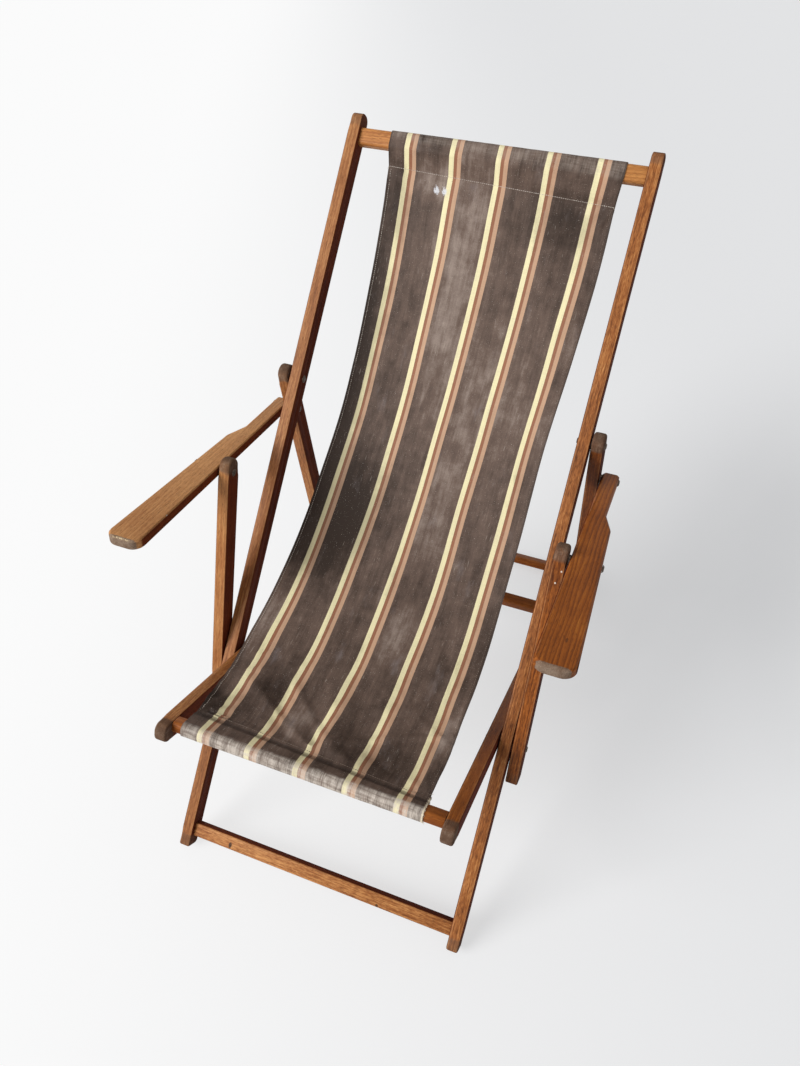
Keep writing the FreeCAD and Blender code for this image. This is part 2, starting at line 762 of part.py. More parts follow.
def strip_face(curve, thick):
    """Make the face of a strip of cloth whose middle follows a curve, in smooth arcs."""
    sides = []
    for half in (thick / 2, -thick / 2):
        side = [spot(y - half * math.sin(a), z + half * math.cos(a)) for y, z, a in curve]
        sides.append(side)
    edges = []
    for side in sides:
        for i in range(0, len(side) - 2, 2):
            edges.append(Part.Arc(*side[i:i + 3]).toShape())
    for end in (0, -1):
        edges.append(Part.makeLine(sides[0][end], sides[1][end]))
    return Part.Face(Part.Wire(Part.__sortEdges__(edges)))


CANVAS_ARCS = 10
HEM_POINT = 0.2
CLEAR = 1


def spread(face):
    """Extrude a face of the YZ plane to both sides, past the canvas's widest place."""
    reach = value("canvas_wide")
    return face.translated(FreeCAD.Vector(-reach, 0, 0)).extrude(FreeCAD.Vector(2 * reach, 0, 0))


def canvas_edge(side, start, finish, high):
    """Make a block that holds all that lies beyond one curved edge of the canvas."""
    half = value("canvas_wide") / 2
    front_x = value("canvas_skew_front") + side * half
    top_x = value("canvas_skew_top") + side * half
    waist_x = (front_x + top_x) / 2 - side * value("canvas_waist")
    far_x = side * (value("canvas_wide") + CLEAR)
    first = FreeCAD.Vector(front_x, start, 0)
    waist = FreeCAD.Vector(waist_x, (start + finish) / 2, 0)
    last = FreeCAD.Vector(top_x, finish, 0)
    edge = Part.Arc(first, waist, last).toShape()
    beyond = [last, FreeCAD.Vector(far_x, finish, 0), FreeCAD.Vector(far_x, start, 0), first]
    border = Part.Wire([edge] + Part.makePolygon(beyond).Edges)
    return Part.Face(border).extrude(FreeCAD.Vector(0, 0, high))


def make_sling():
    """Make the canvas: a hem round each bar and the hanging cloth between them."""
    thick = value("canvas_thick")
    gap = value("canvas_gap")
    past = value("canvas_past")
    head = (value("head_y"), value("head_z"))
    front = (value("front_y"), value("front_z"))
    slope = math.radians(value("top_hem_slope"))
    drop = value("top_hem_drop")
    top_tip = (head[0] - drop * math.cos(slope), head[1] - drop * math.sin(slope))
    front_tip = (front[0] + value("front_hem_back"), front[1] - value("front_hem_drop"))
    curve = hang(front_tip, top_tip, value("canvas_slack"), 2 * CANVAS_ARCS)
    bars = (
        (head, math.radians(value("back_angle")), "head_face", "head_ease", top_tip),
        (front, -math.radians(value("seat_angle")), "front_face", "front_ease", front_tip),
    )
    cloth = spread(strip_face(curve, thick))
    for bar in bars:
        cloth = cloth.fuse(spread(hem_face(bar, gap + thick, thick)))
    for bar in bars:
        cloth = cloth.cut(spread(hem_face(bar, gap, HEM_POINT)))
    for side in (-1, 1):
        cloth = cloth.cut(canvas_edge(side, front[0] - past, head[0] + past, head[1] + past))
    cloth = cloth.removeSplitter()
    if len(cloth.Solids) != 1:
        raise RuntimeError("the canvas fell apart")
    return cloth.Solids[0]


sling = doc.addObject("Part::Feature", "sling")
sling.Shape = make_sling()
nodes["sling"] = sling

doc.recompute()


def save_nodes():
    """Check every piece and write it to its own file."""
    for thing in doc.Objects:
        if "Invalid" in thing.State or "Error" in thing.State:
            raise RuntimeError(f"{thing.Name} did not build: {thing.State}")
    for name, thing in nodes.items():
        shape = thing.Shape
        if shape.isNull() or not shape.isValid() or not shape.Solids:
            raise RuntimeError(f"{name} has no sound solid")
    os.makedirs("parts", exist_ok=True)
    for name, thing in nodes.items():
        thing.Shape.exportStep(f"parts/{name}.step")
    for name, thing in nodes.items():
        box = thing.Shape.BoundBox
        print(
            f"{name:22s} solids {len(thing.Shape.Solids)}"
            f"  x {box.XMin:7.1f} {box.XMax:7.1f}"
            f"  y {box.YMin:7.1f} {box.YMax:7.1f}"
            f"  z {box.ZMin:7.1f} {box.ZMax:7.1f}"
        )


save_nodes()
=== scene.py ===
# %% [markdown]
# # A folding steamer deck chair
# Two wooden frames cross at a pivot on each side. A pair of prop legs and a pair of armrests
# hold them open, and a striped canvas hangs from the head bar to the front bar. The wooden
# frame comes from the CAD model. This lesson gives it varnish, grain and wear, and it makes
# the canvas with its seams, which no CAD solid can do justice to.

import json
import math

import bmesh
import bpy
import numpy as np
from mathutils import Matrix, Vector, noise


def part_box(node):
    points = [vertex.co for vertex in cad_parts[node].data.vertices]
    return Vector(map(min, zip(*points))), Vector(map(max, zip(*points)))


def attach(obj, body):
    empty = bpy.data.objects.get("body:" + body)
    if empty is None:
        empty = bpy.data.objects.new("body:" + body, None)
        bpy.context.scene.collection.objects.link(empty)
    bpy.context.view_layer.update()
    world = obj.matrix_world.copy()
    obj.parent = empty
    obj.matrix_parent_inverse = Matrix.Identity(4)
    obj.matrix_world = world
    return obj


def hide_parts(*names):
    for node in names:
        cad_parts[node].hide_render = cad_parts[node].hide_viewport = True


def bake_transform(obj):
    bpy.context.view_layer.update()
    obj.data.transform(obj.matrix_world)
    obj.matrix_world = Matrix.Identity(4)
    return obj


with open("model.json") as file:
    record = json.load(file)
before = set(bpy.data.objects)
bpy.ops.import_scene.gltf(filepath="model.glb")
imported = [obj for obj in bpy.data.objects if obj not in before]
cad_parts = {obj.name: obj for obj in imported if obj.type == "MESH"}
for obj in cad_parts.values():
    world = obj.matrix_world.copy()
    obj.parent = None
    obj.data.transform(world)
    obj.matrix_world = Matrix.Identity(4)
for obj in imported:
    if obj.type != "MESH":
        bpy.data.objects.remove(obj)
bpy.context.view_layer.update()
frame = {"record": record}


# %% A helper for objects
def new_object(name, data):
    """Make an object and put it in the scene."""
    made = bpy.data.objects.new(name, data)
    bpy.context.scene.collection.objects.link(made)
    return made


# %% [markdown]
# ## The camera
# The chair is seen from its front right, from above and quite near. The camera is placed by
# two angles, so its three axes are worked out from them and set as a matrix.

# %% Camera
CAMERA_PLACE = Vector((0.4038, -1.0893, 1.5355))
CAMERA_TURN = math.radians(21.53)
CAMERA_RISE = math.radians(42.65)
CAMERA_LENS = 39.56

backward = Vector(
    (
        math.sin(CAMERA_TURN) * math.cos(CAMERA_RISE),
        -math.cos(CAMERA_TURN) * math.cos(CAMERA_RISE),
        math.sin(CAMERA_RISE),
    )
)
rightward = Vector((math.cos(CAMERA_TURN), math.sin(CAMERA_TURN), 0))
upward = backward.cross(rightward)
camera = new_object("camera", bpy.data.cameras.new("camera"))
camera.data.sensor_fit = "HORIZONTAL"
camera.data.lens = CAMERA_LENS
turned = Matrix((rightward, upward, backward)).transposed()
camera.matrix_world = Matrix.Translation(CAMERA_PLACE) @ turned.to_4x4()
bpy.context.scene.camera = camera
print("camera", [round(x, 3) for x in CAMERA_PLACE])

# %% [markdown]
# ## A small language for materials
# Node trees are hard to read as code, so one class wraps a socket. Sums on it add Math nodes,
# and every other node comes from one method of the class that holds the nodes. A material
# also keeps the colour that its surface has so far, and each new layer covers a share of it.


# %% Colours as a screen shows them
def colour(red, green, blue):
    """Turn a colour as seen on a screen, 0 to 255, into the shader's own numbers."""
    linear = []
    for part in (red, green, blue):
        part = part / 255
        linear.append(part / 12.92 if part < 0.04045 else ((part + 0.055) / 1.055) ** 2.4)
    return (*linear, 1.0)


print("middle grey is", round(colour(128, 128, 128)[0], 3), "to the shader")


# %% Sockets that can be added and multiplied
class Wire:
    """One output of a node, on which sums can be written."""

    def __init__(self, owner, socket):
        self.owner = owner
        self.socket = socket

    def maths(self, operation, *values):
        """Add a Math node."""
        return self.owner.node("Math", {"operation": operation}, dict(enumerate(values)))

    def __add__(self, other):
        return self.maths("ADD", self, other)

    def __sub__(self, other):
        return self.maths("SUBTRACT", self, other)

    def __rsub__(self, other):
        return self.maths("SUBTRACT", other, self)

    def __mul__(self, other):
        return self.maths("MULTIPLY", self, other)

    def __truediv__(self, other):
        return self.maths("DIVIDE", self, other)

    __radd__ = __add__

    def clip(self):
        """Keep the value between 0 and 1."""
        return self.owner.node("Clamp", {}, {0: self})

    def over(self, low, high):
        """Rise smoothly from 0 to 1 as the value goes from low to high."""
        ends = {0: self, 1: low, 2: high, 3: 0.0, 4: 1.0}
        return self.owner.node("MapRange", {"interpolation_type": "SMOOTHSTEP"}, ends)

    def under(self, low, high):
        """Fall smoothly from 1 to 0 as the value goes from low to high."""
        return 1.0 - self.over(low, high)

    def between(self, start, full, fading, gone):
        """Rise from 0 to 1 between start and full, and fall back between fading and gone."""
        return self.over(start, full) * self.under(fading, gone)

    def size(self):
        """Give the value without its sign."""
        return self.maths("ABSOLUTE", self)

    def wave(self, period):
        """Go up and down between -1 and 1 once in each period."""
        return self.maths("SINE", self * (2 * math.pi / period))

    def cycle(self, period):
        """Rise from 0 to 1 in each period, and fall back at once."""
        return self.maths("FRACT", self / period)


print("sums can be written on wires")


# %% Trees of nodes
class NodeTree:
    """The nodes of a material or of the world, made by plain calls."""

    def __init__(self, holder):
        holder.use_nodes = True
        self.tree = holder.node_tree

    def join(self, value, socket):
        """Link a wire to a socket, or set the socket to a plain value."""
        if isinstance(value, Wire):
            self.tree.links.new(value.socket, socket)
        else:
            socket.default_value = value

    def node(self, kind, settings, sockets, out=0):
        """Add a node: its settings first, then its sockets. Give one output."""
        made = self.tree.nodes.new("ShaderNode" + kind)
        for name, value in settings.items():
            setattr(made, name, value)
        for name, value in sockets.items():
            self.join(value, made.inputs[name])
        return Wire(self, made.outputs[out])

    def seen(self):
        """Give 1 for a ray that the eye follows: straight, mirrored or through glass."""
        straight = self.node("LightPath", {}, {}, "Is Camera Ray")
        kinds = straight.socket.node.outputs
        mirrored = Wire(self, kinds["Is Glossy Ray"])
        through_glass = Wire(self, kinds["Is Transmission Ray"])
        return (straight + mirrored + through_glass).clip()

    def show(self, share, first, second, output):
        """Send a blend of two shaders to the output node."""
        blended = self.node("MixShader", {}, {0: share, 1: first, 2: second})
        self.join(blended, self.tree.nodes[output].inputs["Surface"])


print("a tree of nodes takes plain calls")


# %% Materials
class Finish(NodeTree):
    """A material, and the colour that its surface has so far."""

    def __init__(self, name):
        self.material = bpy.data.materials.new(name)
        super().__init__(self.material)
        self.shader = self.tree.nodes["Principled BSDF"]
        self.tint = colour(255, 255, 255)

    def attribute(self, name, out="Fac"):
        """Read an attribute of the piece."""
        return self.node("Attribute", {"attribute_name": name}, {}, out)

    def place(self):
        """Give the point in the piece's own coordinates, in metres."""
        return self.node("TexCoord", {}, {}, "Object")

    def parts(self, vector):
        """Give the three numbers of a vector."""
        split = self.node("SeparateXYZ", {}, {0: vector})
        return [Wire(self, out) for out in split.socket.node.outputs]

    def joined(self, x, y, z):
        """Make a vector of three numbers."""
        return self.node("CombineXYZ", {}, {0: x, 1: y, 2: z})

    def speckle(self, place, scale, detail=3.0, rough=0.55):
        """Give smooth random values from 0 to 1."""
        sockets = {"Vector": place, "Scale": scale, "Detail": detail, "Roughness": rough}
        return self.node("TexNoise", {}, sockets)

    def spot(self, place, centre, reach, soft=1.0):
        """Give 1 in the middle of an oval place, and 0 outside its reach."""
        away = self.node("VectorMath", {"operation": "SUBTRACT"}, {0: place, 1: centre})
        share = self.node("VectorMath", {"operation": "DIVIDE"}, {0: away, 1: reach})
        far = self.node("VectorMath", {"operation": "LENGTH"}, {0: share}, out="Value")
        return far.under(1.0 - soft, 1.0)

    def mix(self, share, first, second, blend="MIX"):
        """Blend two colours."""
        settings = {"data_type": "RGBA", "blend_type": blend}
        return self.node("Mix", settings, {0: share, 6: first, 7: second}, out=2)

    def shades(self, value, dark, middle, light):
        """Go from a dark colour over a middle one to a light one as the value goes from 0 to 1."""
        lower = self.mix((value * 2.0).clip(), colour(*dark), colour(*middle))
        return self.mix((value * 2.0 - 1.0).clip(), lower, colour(*light))

    def cover(self, share, shade, blend="MIX"):
        """Cover a share of the colour so far with another one, given as a screen shows it."""
        top = shade if isinstance(shade, Wire) else colour(*shade)
        self.tint = self.mix(share, self.tint, top, blend)

    def bump(self, height, strength, distance):
        """Turn a height into a bumpy normal."""
        sockets = {"Height": height, "Strength": strength, "Distance": distance}
        return self.node("Bump", {}, sockets)

    def set(self, **values):
        """Set or link sockets of the shader, named with underscores for spaces."""
        for name, value in values.items():
            self.join(value, self.shader.inputs[name.replace("_", " ")])


print("materials can be made")

# %% [markdown]
# ## Floor
# The chair stands on a white studio floor, a wide plain plane. A white floor in soft light
# looks grey beside a bright window, so where the eye sees it, straight on or in a shiny
# surface, it is mixed with a glowing white, more on the window's side. That glow is greyer
# away from the window, a painted shade of the light falling off. Its shadows stay, and no
# extra light falls on the chair.

# %% Floor
FLOOR_HALF = 30.0
FLOOR_PAINT = colour(250, 250, 250)
LEFT_WHITE = colour(255, 255, 255)
# The glow on the right is greyer, a painted shade of the light falling off.
RIGHT_SHADED_GLOW = colour(231, 232, 234)
LEFT_LIFT = 0.86
RIGHT_LIFT = 0.38
LEFT_END = -1.1
RIGHT_END = 1.5
FALL_LEAN = 0.45

floor_mesh = bpy.data.meshes.new("floor")
floor_signs = ((-1, -1), (1, -1), (1, 1), (-1, 1))
floor_corners = [(x * FLOOR_HALF, y * FLOOR_HALF, 0) for x, y in floor_signs]
floor_mesh.from_pydata(floor_corners, [], [(0, 1, 2, 3)])
floor = new_object("floor", floor_mesh)
floor_finish = Finish("white_floor")
floor_finish.set(Base_Color=FLOOR_PAINT, Roughness=0.7, Specular_IOR_Level=0.1)
floor_x, floor_y = floor_finish.parts(floor_finish.place())[:2]
far_side = (floor_x + floor_y * FALL_LEAN).over(LEFT_END, RIGHT_END)
white = floor_finish.mix(far_side, LEFT_WHITE, RIGHT_SHADED_GLOW)
lift_share = floor_finish.seen() * (LEFT_LIFT - far_side * (LEFT_LIFT - RIGHT_LIFT))
glow = floor_finish.node("Emission", {}, {"Color": white, "Strength": 1.0})
plain = Wire(floor_finish, floor_finish.shader.outputs[0])
floor_finish.show(lift_share, plain, glow, "Material Output")
floor_mesh.materials.append(floor_finish.material)
print("floor", 2 * FLOOR_HALF, "m wide")

# %% [markdown]
# ## Light
# One broad soft lamp stands for a large window at the left and in front, so the faces that
# look that way are light and the others dark. A pale world fills the shadows. Where the eye
# sees the world itself, straight on or in a shiny surface, it is a plain pale wall instead.

# %% Lamp and world
LAMP_FROM = Vector((-0.60, -0.62, 0.50))
LAMP_SOFTNESS = math.radians(36)
LAMP_STRENGTH = 2.95
SKY_COLOUR = colour(250, 252, 255)
SKY_STRENGTH = 0.31
WALL_COLOUR = colour(236, 237, 239)

lamp = new_object("lamp", bpy.data.lights.new("lamp", "SUN"))
lamp.data.energy = LAMP_STRENGTH
lamp.data.angle = LAMP_SOFTNESS
lamp.rotation_euler = LAMP_FROM.to_track_quat("Z", "Y").to_euler()

world = bpy.data.worlds.new("studio")
studio = NodeTree(world)
sky = studio.tree.nodes["Background"]
studio.join(SKY_COLOUR, sky.inputs["Color"])
studio.join(SKY_STRENGTH, sky.inputs["Strength"])
wall = studio.node("Background", {}, {"Color": WALL_COLOUR, "Strength": 1.0})
studio.show(studio.seen(), Wire(studio, sky.outputs[0]), wall, "World Output")
bpy.context.scene.world = world
bpy.context.scene.view_settings.view_transform = "Standard"
print("lamp", LAMP_STRENGTH, "sky", SKY_STRENGTH)

# %% [markdown]
# ## Sticks with a grain
# Grain runs along each stick of wood, whichever way the stick leans. So each piece gets a
# vector attribute that holds its own coordinates: along the stick, across it and through it,
# in metres from its middle. A second one holds its half sizes, so that a material can tell
# how far a point is from an end or an edge. The shapes are the CAD model's, copied and
# merged, with their sharp corners broken by a very small bevel, as sanding does.

# %% Which way each stick leans
BACK_LEAN = 49.1
SEAT_LEAN = -20.5
LEG_LEAN = -78.5
POST_LEAN = 71.4
ARM_LEAN = -6.4
SMOOTH_BELOW = math.radians(35)

SIDE_STICKS = {
    "back_rail": ("back_frame", BACK_LEAN),
    "seat_rail": ("seat_frame", SEAT_LEAN),
    "prop_leg": ("prop_frame", LEG_LEAN),
    "arm_post": ("post", POST_LEAN),
    "armrest": ("arm", ARM_LEAN),
}
CROSS_BARS = {
    "head_bar": ("back_frame", BACK_LEAN),
    "foot_stretcher": ("back_frame", BACK_LEAN),
    "front_bar": ("seat_frame", SEAT_LEAN),
    "rear_stretcher": ("seat_frame", SEAT_LEAN),
    "prop_bar": ("prop_frame", LEG_LEAN),
}


def lean_axes(degrees):
    """Give the direction of a stick that leans so, and the one square to it."""
    angle = math.radians(degrees)
    along = Vector((0, math.cos(angle), math.sin(angle)))
    square = Vector((0, -math.sin(angle), math.cos(angle)))
    return along, square


def write_attribute(mesh, name, values):
    """Store a vector for each vertex."""
    made = mesh.attributes.new(name, "FLOAT_VECTOR", "POINT")
    made.data.foreach_set("vector", np.asarray(values, dtype=np.float32).ravel())


def made_solid(piece):
    """Turn a piece with live modifiers into a plain mesh, smooth but for its corners."""
    evaluated = piece.evaluated_get(bpy.context.evaluated_depsgraph_get())
    finished = bpy.data.meshes.new_from_object(evaluated)
    piece.modifiers.clear()
    piece.data = finished
    finished.polygons.foreach_set("use_smooth", [True] * len(finished.polygons))
    finished.set_sharp_from_angle(angle=SMOOTH_BELOW)


print("sticks", 2 * len(SIDE_STICKS) + len(CROSS_BARS))

# %% [markdown]
# The ends of the rails, legs and posts are domed in the side view, and hands and weather have
# rounded them across their width too. Cuts through the end give it enough points. Then each
# point near a side face moves toward the middle of the dome, as on a quarter of a circle.

# %% Measure and cut an end
END_CUTS = (0.006, 0.012, 0.018, 0.026, 0.034)
WIDTH_CUTS = (0.05, 0.2, 0.45, 0.75, 1.0)
FADE_FROM = 0.018
DOME_HEART = 0.015
HEART_SOFT = 0.010
CUT_SLACK = 0.0001
SAME_PLACE = 0.000001


def rise(value, low, high):
    """Go smoothly from 0 to 1 as the value goes from low to high."""
    share = min(1.0, max(0.0, (value - low) / (high - low)))
    return share * share * (3 - 2 * share)


def span(shape, way):
    """Give the lowest and the highest reach of a shape along a direction."""
    reach = [v.co.dot(way) for v in shape.verts]
    return min(reach), max(reach)


def parts_past(shape, way, level):
    """Give the faces that lie wholly past a level, with their corners and edges."""
    past = {}
    for face in shape.faces:
        if min(v.co.dot(way) for v in face.verts) > level:
            past.update(dict.fromkeys((face, *face.verts, *face.edges)))
    return list(past)


print("ends are cut at", END_CUTS)


# %% Round an end across its width
def soften_end(shape, axes, way, radius):
    """Round one end of a stick across its width: way is 1 for the far end, -1 for the near one."""
    ahead = axes[0] * way
    sideways = axes[1]
    depthwise = ahead.cross(sideways)
    tip = span(shape, ahead)[1]
    left, right = span(shape, sideways)
    centre = (left + right) / 2
    half = (right - left) / 2
    level = sum(span(shape, depthwise)) / 2
    for cut in END_CUTS:
        everything = shape.verts[:] + shape.edges[:] + shape.faces[:]
        bmesh.ops.bisect_plane(shape, geom=everything, plane_co=ahead * (tip - cut), plane_no=ahead)
    for cut in WIDTH_CUTS:
        for side in (-1, 1):
            at_end = parts_past(shape, ahead, tip - END_CUTS[-1] - CUT_SLACK)
            place = sideways * (centre + side * (half - cut * radius))
            bmesh.ops.bisect_plane(shape, geom=at_end, plane_co=place, plane_no=sideways)
    for v in shape.verts:
        back = tip - v.co.dot(ahead)
        out = abs(v.co.dot(sideways) - centre) - (half - radius)
        if out <= 0 or back > END_CUTS[-1]:
            continue
        share = min(1.0, out / radius)
        drop = radius * (1 - math.sqrt(1 - share * share)) * (1 - rise(back, FADE_FROM, END_CUTS[-1]))
        heart_back = max(back, DOME_HEART)
        inward = ahead * (back - heart_back) + depthwise * (level - v.co.dot(depthwise))
        if inward.length > SAME_PLACE:
            v.co += inward.normalized() * drop * min(1.0, inward.length / HEART_SOFT)


print("the middle of a dome lies", DOME_HEART, "m behind its tip")

# %% [markdown]
# One function makes any stick. It copies the CAD mesh, merges it and joins its flat
# triangles, rounds the ends that it is told to, and adds the sanded corners. The attributes
# are written last, when the mesh is final.

# %% What a stick tells its material
# The letters of a stick's name choose one of so many places in the patterns.
SEEDS = 17
# These bars get a part of the painted shade on their side faces, or none. The rest get it all.
SIDE_SHADE_SHARES = {"head_bar": 0, "front_bar": 0.30, "rear_stretcher": 0.15, "prop_bar": 0.15}


def write_habits(mesh, node, axes, look, worn):
    """Give a stick its own coordinates, and the numbers that its material reads."""
    points = np.empty(len(mesh.vertices) * 3)
    mesh.vertices.foreach_get("co", points)
    through = axes[0].cross(axes[1])
    own = points.reshape(-1, 3) @ np.array([axes[0][:], axes[1][:], through[:]]).T
    low = own.min(axis=0)
    high = own.max(axis=0)
    write_attribute(mesh, "grain", own - (low + high) / 2)
    tone, amber, rings, flecks = look
    seed = sum(map(ord, node)) % SEEDS / SEEDS
    same_all_over = {
        "half_size": (high - low) / 2,
        # varnish holds how amber the stick is, and how much painted shade its side faces get.
        "varnish": (amber, SIDE_SHADE_SHARES.get(node, 1), 0),
        "habit": (tone, *worn),
        "figure": (rings, seed, flecks),
    }
    for name, values in same_all_over.items():
        write_attribute(mesh, name, np.tile(values, (len(own), 1)))
    end = mesh.attributes.new("end_grain", "FLOAT", "FACE")
    end.data.foreach_set("value", [abs(face.normal.dot(axes[0])) for face in mesh.polygons])


# These bars get less painted shade on their side faces.
print("bars with less painted side shade", len(SIDE_SHADE_SHARES))

# %% Make a stick
SANDED = 0.0006
ARM_SANDED = 0.0018
SAND_ABOVE = math.radians(32)
FLAT_BELOW = math.radians(0.5)


def make_stick(node, body, axes, look, worn, soft_ends=(0, 0)):
    """Copy a CAD stick, soften its corners and give it its own coordinates.

    look is its tone, how amber it is, and how strong its growth rings and its flecks are. worn
    is the wear of its two ends, and soft_ends how far each is rounded across its width.
    """
    shape = bmesh.new()
    shape.from_mesh(bpy.data.objects[node].data)
    bmesh.ops.remove_doubles(shape, verts=shape.verts, dist=SAME_PLACE)
    bmesh.ops.dissolve_limit(shape, angle_limit=FLAT_BELOW, verts=shape.verts, edges=shape.edges)
    for way, radius in zip((-1, 1), soft_ends):
        if radius:
            soften_end(shape, axes, way, radius)
    mesh = bpy.data.meshes.new(node + "_wood")
    shape.to_mesh(mesh)
    shape.free()
    piece = new_object(node + "_wood", mesh)
    bevel = piece.modifiers.new("sanded", "BEVEL")
    bevel.width = ARM_SANDED if "armrest" in node else SANDED
    bevel.segments = 3 if "armrest" in node else 2
    bevel.limit_method = "ANGLE"
    bevel.angle_limit = SAND_ABOVE
    made_solid(piece)
    write_habits(piece.data, node, axes, look, worn)
    piece.data.materials.append(wood.material)
    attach(piece, body)
    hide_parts(node)


print("sanded corners", SANDED, "and", ARM_SANDED)

# %% [markdown]
# ## Old varnish over straight grain
# The wood is an open-pored hardwood under orange-brown varnish. Its lightness is one number
# that several patterns add to: broad streaks, fine fibres, flecks and growth rings, all drawn
# out along the stick. Three browns turn that number into colour. Dark pores, bare edges with a
# painted highlight, grey worn ends and painted shade on the side faces come on top.

# %% Patterns of the wood
RING_APART = 0.0056

wood = Finish("varnished_wood")
along, across, through = wood.parts(wood.attribute("grain", "Vector"))
half_long, half_wide, half_thick = wood.parts(wood.attribute("half_size", "Vector"))
tone, worn_low, worn_high = wood.parts(wood.attribute("habit", "Vector"))
rings, seed, flecks = wood.parts(wood.attribute("figure", "Vector"))
amber, side_shade_share = wood.parts(wood.attribute("varnish", "Vector"))[:2]
cut_across = wood.attribute("end_grain")


def grain(shrink, scale, detail=3.0, rough=0.55):
    """Give noise that is drawn out along the stick; a small shrink draws it out far."""
    place = wood.joined(along * shrink + seed * 2.3, across + seed, through - seed)
    return wood.speckle(place, scale, detail, rough)


bend = grain(0.16, 20.0, 2.0) - 0.5
sway = grain(0.10, 75.0) - 0.5
streak = grain(0.05, 210.0, 3.0, 0.6)
ring_place = across * 0.85 + through * 0.5 + bend * 0.022 + sway * 0.007 + seed * 0.01
late_wood = ring_place.cycle(RING_APART).between(0.20, 0.90, 0.90, 1.0) * (streak * 1.4 + 0.3)
fibre = grain(0.03, 900.0, 3.0, 0.6)
fleck = grain(0.22, 420.0, 3.0, 0.65)
pore = grain(0.09, 1300.0, 1.0, 0.5).over(0.60, 0.68)
patch = grain(0.7, 14.0, 3.0, 0.6)
blotch = grain(1.0, 75.0, 4.0, 0.65)
print("rings", RING_APART, "m apart")

# %% [markdown]
# Wear goes by distance. Bare edges follow the sharp corners, and their lightness is partly a
# painted highlight. The ends are grey as far as rain and hands reached, and the left armrest,
# the palest one, has a chipped line round its front end. The left and right faces of the side
# sticks get painted shade, and some of the bars get a part of it on their narrow faces.

# %% Where the wood is worn, and where it gets painted shade
WORN_REACH = 0.028
ARM_WORN_REACH = 0.007
RIM_INSET = 0.0030

to_side = half_wide - across.size()
to_face = half_thick - through.size()
from_low = half_long + along
from_high = half_long - along
# Only the armrests are wide, so the half width of a stick tells whether it is one.
is_armrest = half_wide.over(0.015, 0.020)
edge = (to_side + to_face + blotch * 0.005 - 0.0025).under(0.0010, 0.0040)
worn_reach = WORN_REACH - is_armrest * (WORN_REACH - ARM_WORN_REACH)
ragged_end = (blotch - 0.5) * 0.5


def near_end(from_end):
    """Give 1 near an end, with a ragged limit."""
    return (from_end / worn_reach + ragged_end).under(0.70, 0.95)


worn = (near_end(from_low) * worn_low + near_end(from_high) * worn_high).clip()
rim = (from_low + to_face - RIM_INSET).size().under(0.0006, 0.0014) * is_armrest
rim = rim * from_low.between(0.0010, 0.0020, 0.0050, 0.0075) * through.under(-0.001, 0.001)
chipped = rim * grain(1.0, 420.0, 2.0).over(0.44, 0.52) * tone.over(0.3, 0.5)
# Painted shade on the side faces, to make them darker than the lamp does.
painted_side_shade = to_side.under(0.0005, 0.0018) * side_shade_share
print("worn ends reach", WORN_REACH, "m, and", ARM_WORN_REACH, "m on the armrests")

# %% Colours of the wood
WOOD_SHADES = ((84, 45, 22), (154, 98, 55), (206, 152, 100))
GREY_SHADES = ((48, 35, 28), (98, 78, 64), (160, 142, 124))
AMBER = (252, 218, 142)
SIDE_SHADE_COLOUR = (144, 94, 68)
PORE = (58, 30, 14)
BARE_EDGE_AND_HIGHLIGHT = (200, 148, 100)
END_GRAIN = (70, 46, 31)
CHIPPED = (222, 198, 160)

lively = flecks * 0.7 + 0.35
lightness = 0.50 + ((streak - 0.5) + (fibre - 0.5) * 1.1) * lively + (patch - 0.5) * 0.7
lightness = lightness + (fleck - 0.5) * flecks * 1.5 - (late_wood - 0.4) * rings * 0.7 + tone * 0.40
wood.tint = wood.shades(lightness, *WOOD_SHADES)
wood.cover(amber, AMBER, "MULTIPLY")
wood.cover(pore * 0.45, PORE)
# Lighter edges: bare worn wood, and a painted highlight along them.
wood.cover(edge * 0.30, BARE_EDGE_AND_HIGHLIGHT)
# The painted shade of the side faces.
wood.cover(painted_side_shade, SIDE_SHADE_COLOUR, "MULTIPLY")
wood.cover(cut_across.over(0.45, 0.95) * 0.62, END_GRAIN)
grey_value = fibre * 0.7 + blotch * 0.9 - 0.32 + is_armrest * 0.25
wood.cover(worn * 0.85, wood.shades(grey_value, *GREY_SHADES))
wood.cover(chipped * 0.85, CHIPPED)
print("browns", WOOD_SHADES)

# %% [markdown]
# A few small marks sit at places of their own: a gouge and a nick in the foot stretcher, a
# crack in the right back rail, a knot in the right armrest and a few chips of lost varnish.
# Each is a small oval place, in the piece's own coordinates. The faces with painted shade are
# made dull too, so they get more roughness and no clear coat.

# %% Marks and gloss of the wood
DARK_MARKS = (
    ((-0.1740, -0.4665, 0.0345), (0.0036, 0.0064, 0.0064), 0.85),
    ((0.1157, -0.4700, 0.0310), (0.0030, 0.0030, 0.0030), 0.80),
    ((0.2684, -0.0415, 0.5363), (0.0013, 0.0040, 0.0040), 0.85),
    ((0.3307, -0.3061, 0.6481), (0.0022, 0.0060, 0.0030), 0.55),
)
PALE_MARKS = (
    ((0.2890, -0.1465, 0.6107), (0.0017, 0.0019, 0.0019)),
    ((0.2834, -0.1532, 0.5910), (0.0017, 0.0019, 0.0019)),
    ((-0.2975, -0.2824, 0.6450), (0.0016, 0.0040, 0.0020)),
)
DARK_MARK = (38, 24, 18)
PALE_MARK = (226, 214, 198)
COAT = 0.08

